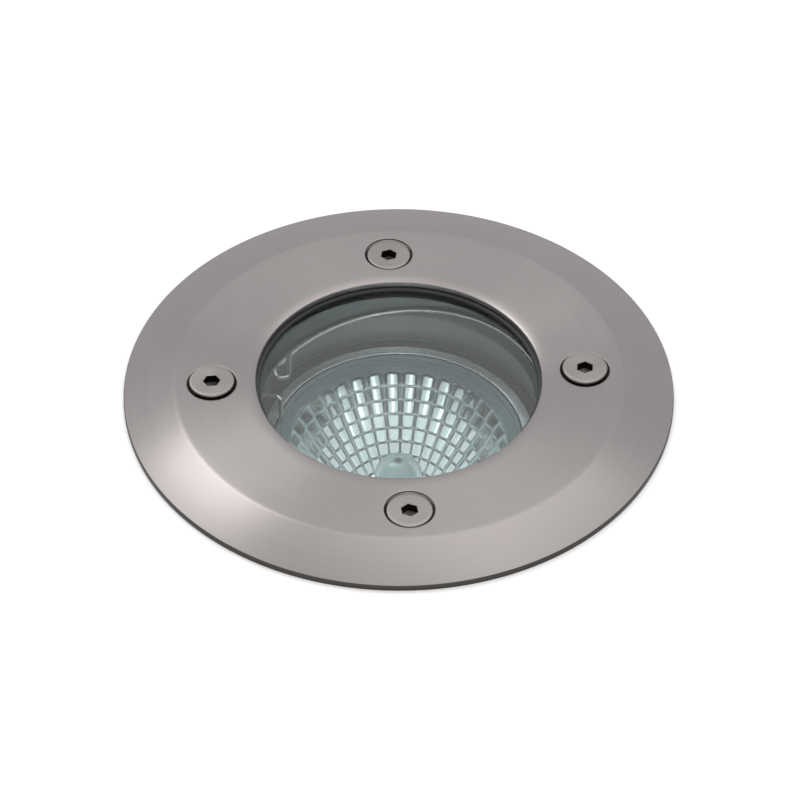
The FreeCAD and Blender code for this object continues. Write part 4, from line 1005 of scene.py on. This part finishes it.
def make_lamp_cover():
    """Front glass of the lamp, bonded in the reflector's rim."""
    bm = bmesh.new()
    radius, low, high = cover_high.x, cover_low.z, cover_high.z
    outline = rounded([(0, low), (radius, low, 0.1), (radius, high, 0.3), (0, high)])
    revolve(bm, outline)
    cover = to_object("lamp_front_glass", to_mesh("lamp_front_glass", bm))
    seat(cover, "light_unit", "lamp_front_glass", LAMP_GLASS, "lamp_cover_glass")


def make_capsule():
    """Hollow quartz capsule with a domed top and the small tip where it was sealed off."""
    foot, top = capsule_low.z, capsule_high.z + CAPSULE_RISE
    seal, bevel, sides = 9.0, 0.4, 64
    tip, tip_base, tip_end, tip_round = 0.9, 0.8, 0.55, 0.3
    dome, dome_steps = CAPSULE_RADIUS * 0.75, 8

    def wall(radius, crown, floor):
        """One side of the wall, from its floor up over the dome."""
        points = [Vector((0, floor)), Vector((radius * 0.9, floor))]
        points.append(Vector((radius, floor + bevel)))
        for step in range(dome_steps):
            turn = math.radians(90 * step / dome_steps)
            height = crown - dome + dome * math.sin(turn)
            points.append(Vector((radius * math.cos(turn), height)))
        return points

    shoulder = top - tip
    outside = wall(CAPSULE_RADIUS, shoulder, foot)
    outside += [Vector((tip_base, shoulder)), Vector((tip_end, top - tip_round))]
    outside.append(Vector((0, top)))
    ceiling = shoulder - CAPSULE_WALL
    inside = wall(CAPSULE_RADIUS - CAPSULE_WALL, ceiling, foot + seal)
    inside.append(Vector((0, ceiling)))
    joined = bmesh.new()
    for outline in (outside, inside):
        bm = bmesh.new()
        revolve(bm, outline, sides)
        side_mesh = to_mesh("capsule_wall", bm, 60)
        if outline is inside:
            side_mesh.flip_normals()
        joined.from_mesh(side_mesh)
    mesh = bpy.data.meshes.new("quartz_capsule")
    joined.to_mesh(mesh)
    joined.free()
    capsule = to_object("quartz_capsule", mesh)
    seat(capsule, "light_unit", "quartz", QUARTZ, "lamp_capsule")


def make_filament():
    """Coiled tungsten wire, lying across the capsule."""
    tree, given = shape_tree(
        "filament_coil",
        Turns=0.0,
        Coil=0.0,
        Length=0.0,
        Wire=0.0,
        Height=0.0,
        Finish=TUNGSTEN,
    )
    spiral = add(
        tree,
        "GeometryNodeCurveSpiral",
        {
            "Resolution": 16,
            "Rotations": given["Turns"],
            "Start Radius": given["Coil"],
            "End Radius": given["Coil"],
            "Height": given["Length"],
        },
    )
    half = add(tree, "ShaderNodeMath", [given["Length"], -0.5], operation="MULTIPLY")
    shift = add(tree, "ShaderNodeCombineXYZ", {"X": half, "Z": given["Height"]})
    laid = add(
        tree,
        "GeometryNodeTransform",
        {"Geometry": spiral, "Rotation": (0, math.pi / 2, 0), "Translation": shift},
    )
    section = add(
        tree,
        "GeometryNodeCurvePrimitiveCircle",
        {"Resolution": 8, "Radius": given["Wire"]},
    )
    wire = add(
        tree,
        "GeometryNodeCurveToMesh",
        {"Curve": laid, "Profile Curve": section, "Fill Caps": True},
    )
    finish_tree(tree, wire, given["Finish"])
    coil_radius = (filament_high.z - filament_low.z) / 2
    wire_radius, turns = 0.13, 11.0
    mesh = grow(
        "filament",
        tree,
        Turns=turns,
        Coil=(coil_radius - wire_radius) * MM,
        Length=(filament_high.x - filament_low.x - 2 * wire_radius) * MM,
        Wire=wire_radius * MM,
        Height=(filament_high.z + filament_low.z) / 2 * MM,
        Finish=TUNGSTEN,
    )
    mesh.shade_smooth()
    seat(to_object("filament", mesh), "light_unit", "tungsten", TUNGSTEN, "lamp_filament")


def bent(points, radius, steps=5):
    """A route through the points, with each inner corner bent to a radius."""
    route = [points[0]]
    for before, corner, after in zip(points, points[1:], points[2:]):
        back, ahead = (before - corner).normalized(), (after - corner).normalized()
        half = back.angle(ahead) / 2
        centre = corner + (back + ahead).normalized() * (radius / math.sin(half))
        first = corner + back * (radius / math.tan(half)) - centre
        last = corner + ahead * (radius / math.tan(half)) - centre
        for step in range(steps + 1):
            route.append(centre + first.slerp(last, step / steps))
    return route + [points[-1]]


def make_clip():
    """Spring-wire clip: slanted ring round the well, finger eye and a leg on the lamp's rim."""
    tilt = math.asin(CLIP_SLANT / CLIP_RADIUS)
    across = Vector((math.cos(tilt), 0, math.sin(tilt)))

    def round_well(angle):
        """The clip's ring at an angle."""
        turn = math.radians(angle)
        level = Vector((0, CLIP_RADIUS * math.sin(turn), CLIP_HEIGHT))
        return level + across * (CLIP_RADIUS * math.cos(turn))

    def beside(angle, tangential, inward, height):
        """A place by the well's wall, so far on from an angle and inwards from the ring."""
        turn = math.radians(angle)
        out = Vector((math.cos(turn), math.sin(turn), 0))
        ahead = Vector((-math.sin(turn), math.cos(turn), 0))
        spot = out * (CLIP_RADIUS - inward) + ahead * tangential
        return Vector((spot.x, spot.y, height))

    steps = 160
    span = EYE_ANGLE - (LEG_ANGLE - 360)
    ring = [round_well(EYE_ANGLE - span * step / steps) for step in range(steps + 1)]
    start, finish = ring[0], ring[-1]
    leaving, arriving = (start - ring[1]).normalized(), (finish - ring[-2]).normalized()
    eye_lead, eye_turn, leg_lead = 2.2, 3, 2.4
    eye = [
        start,
        start + leaving * eye_lead,
        beside(EYE_ANGLE + eye_turn, 3.7, 0.6, start.z + 0.3),
        beside(EYE_ANGLE + eye_turn, 3.0, 1.6, start.z - 0.9),
        beside(EYE_ANGLE + eye_turn, 1.5, 2.6, start.z - 1.5),
        beside(EYE_ANGLE + eye_turn, -0.2, 1.8, start.z + 3.2),
    ]
    leg_turn = math.radians(FOOT_ANGLE)
    leg_radius = LAMP_RADIUS - WIRE_RADIUS - WIRE_GAP
    knee = Vector((leg_radius * math.cos(leg_turn), leg_radius * math.sin(leg_turn), 0))
    knee.z = finish.z + LEG_RISE
    foot = Vector((knee.x, knee.y, LAMP_FACE + WIRE_RADIUS + WIRE_GAP))
    leg = [finish, finish + arriving * leg_lead, knee, foot]
    route = bent(eye, WIRE_BEND)[::-1] + ring[1:-1] + bent(leg, WIRE_BEND)
    curve = bpy.data.curves.new("clip_wire", "CURVE")
    curve.dimensions = "3D"
    curve.bevel_depth = WIRE_RADIUS * MM
    curve.bevel_resolution = 3
    curve.use_fill_caps = True
    spline = curve.splines.new("POLY")
    spline.points.add(len(route) - 1)
    for point, spot in zip(spline.points, route):
        point.co = (*(spot * MM), 1)
    wire = to_object("clip_wire", curve)
    graph = bpy.context.evaluated_depsgraph_get()
    mesh = bpy.data.meshes.new_from_object(wire.evaluated_get(graph))
    bpy.data.objects.remove(wire)
    mesh.shade_smooth()
    seat(to_object("clip", mesh), "light_unit", "spring_wire", SPRING_WIRE, "lamp_clip")


# ---------------------------------------------------------------- finishes of the CAD nodes

NODE_FINISHES = {
    "ground_sleeve": SLEEVE_PLASTIC,
    "sleeve_inserts": BRASS,
    "rim_gasket": RUBBER,
    "light_can": CAN_ALUMINIUM,
    "lamp_base": CERAMIC,
    "lamp_pins": NICKEL,
    "lampholder": CERAMIC,
    "lamp_leads": SILICONE,
    "terminal_block": POLYAMIDE,
    "terminal_screws": ZINC,
    "terminal_tubes": BRASS,
    "block_screw": ZINC,
    "gland_body": GLAND_METAL,
    "gland_nut": GLAND_METAL,
    "gland_washer": RUBBER,
    "gland_seal": RUBBER,
}


def coat_nodes():
    """Gives each node that stays its own finish."""
    for name, finish in NODE_FINISHES.items():
        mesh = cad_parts[name].data
        mesh.materials.clear()
        mesh.materials.append(finish)


# ---------------------------------------------------------------- floor, light and camera

FLOOR_HOLE = 50.5
FLOOR_RADIUS = 4000.0
PAVING_WHITE = "#F2F2F2"
PAVING_GLOW = 0.3
ROOM_LIGHT = 0.6
WHITE = (1, 1, 1, 1)


def seen_rays(tree):
    """The kinds of ray, and a share that is 1 for those that are seen, mirrored or refracted."""
    ray = add(tree, "ShaderNodeLightPath").outputs
    seen = ray["Is Camera Ray"]
    for kind in ("Is Glossy Ray", "Is Transmission Ray"):
        seen = add(tree, "ShaderNodeMath", [seen, ray[kind]], operation="MAXIMUM")
    return ray, seen


def paved(tree):
    """White paving, clear from below and to the lamps, so that the buried body shows."""
    ray, seen = seen_rays(tree)
    lit = add(tree, "ShaderNodeBsdfDiffuse", {"Color": colour(PAVING_WHITE)})
    glow = add(tree, "ShaderNodeEmission", {"Color": WHITE, "Strength": PAVING_GLOW})
    dark = add(tree, "ShaderNodeEmission", {"Strength": 0.0})
    lifted = add(tree, "ShaderNodeMixShader", [seen, dark, glow])
    top = add(tree, "ShaderNodeAddShader", [lit, lifted])
    back = add(tree, "ShaderNodeNewGeometry").outputs["Backfacing"]
    open_way = add(tree, "ShaderNodeMath", [back, ray["Is Shadow Ray"]], operation="MAXIMUM")
    see_through = add(tree, "ShaderNodeBsdfTransparent")
    return add(tree, "ShaderNodeMixShader", [open_way, top, see_through])


def make_floor():
    """Paving level with the underside of the trim, with a hole for the buried body."""
    bm = bmesh.new()
    revolve(bm, [(FLOOR_HOLE, GROUND), (FLOOR_RADIUS, GROUND)], 128)
    mesh = to_mesh("paving", bm)
    if mesh.polygons[0].normal.z < 0:
        mesh.flip_normals()
    floor = to_object("paving", mesh)
    floor.data.materials.append(surface("white_paving", paved))


def make_world():
    """White room: full strength where it is seen or mirrored, and softer as light."""
    world = bpy.data.worlds.new("white_room")
    bpy.context.scene.world = world
    world.use_nodes = True
    tree = world.node_tree
    tree.nodes.clear()
    lift = [seen_rays(tree)[1], 1 - ROOM_LIGHT, ROOM_LIGHT]
    strength = add(tree, "ShaderNodeMath", lift, operation="MULTIPLY_ADD")
    room = add(tree, "ShaderNodeBackground", {"Color": WHITE, "Strength": strength})
    add(tree, "ShaderNodeOutputWorld", {"Surface": room})


def direction(azimuth, elevation):
    """A unit vector from its angles in radians, the azimuth from the X axis."""
    level = math.cos(elevation)
    return Vector((math.cos(azimuth) * level, math.sin(azimuth) * level, math.sin(elevation)))


# Azimuth and elevation in degrees, distance and side in metres, and brightness where 1 is white.
SOFTBOXES = {
    "side_softbox": (120.0, 54.0, 1.2, 0.34, 6.2),
    "overhead_softbox": (58.0, 67.0, 1.3, 0.8, 1.3),
    "front_softbox": (268.0, 34.0, 1.3, 1.5, 0.26),
    "front_strip": (269.0, 33.0, 1.3, 0.48, 1.3),
}


def make_softboxes():
    """Square area lamps that face the light's glass."""
    target = Vector((0, 0, GROUND * MM))
    for name, (azimuth, elevation, distance, side, brightness) in SOFTBOXES.items():
        lamp = bpy.data.lights.new(name, "AREA")
        lamp.size = side
        lamp.energy = brightness * math.pi * side * side
        holder = to_object(name, lamp)
        out = direction(math.radians(azimuth), math.radians(elevation))
        holder.location = target + out * distance
        holder.rotation_euler = out.to_track_quat("Z", "Y").to_euler()
        holder.visible_camera = False


# Angles in degrees, the azimuth from straight in front, and lengths in mm.
CAMERA_TARGET = (0.11, -2.70, 130.0)
CAMERA_DISTANCE = 650.24
CAMERA_AZIMUTH = -3.4
CAMERA_ELEVATION = 43.484
CAMERA_ROLL = 0.27
CAMERA_LENS = 146.39
CAMERA_SENSOR = 36.0


def make_camera():
    """The photograph's view."""
    data = bpy.data.cameras.new("camera")
    data.sensor_width = CAMERA_SENSOR
    data.lens = CAMERA_LENS
    data.clip_start, data.clip_end = 0.01, 50.0
    camera = to_object("camera", data)
    back = direction(math.radians(CAMERA_AZIMUTH - 90), math.radians(CAMERA_ELEVATION))
    camera.location = (Vector(CAMERA_TARGET) + back * CAMERA_DISTANCE) * MM
    camera.rotation_euler = back.to_track_quat("Z", "Y").to_euler()
    camera.rotation_euler.rotate_axis("Z", math.radians(CAMERA_ROLL))
    bpy.context.scene.camera = camera


make_camera()
make_world()
make_softboxes()
make_floor()
make_trim()
make_screws()
make_lens()
make_gasket()
make_lamp_ring()
make_reflector()
make_lamp_cover()
make_capsule()
make_filament()
make_clip()
coat_nodes()

bpy.context.scene.view_settings.view_transform = "Standard"
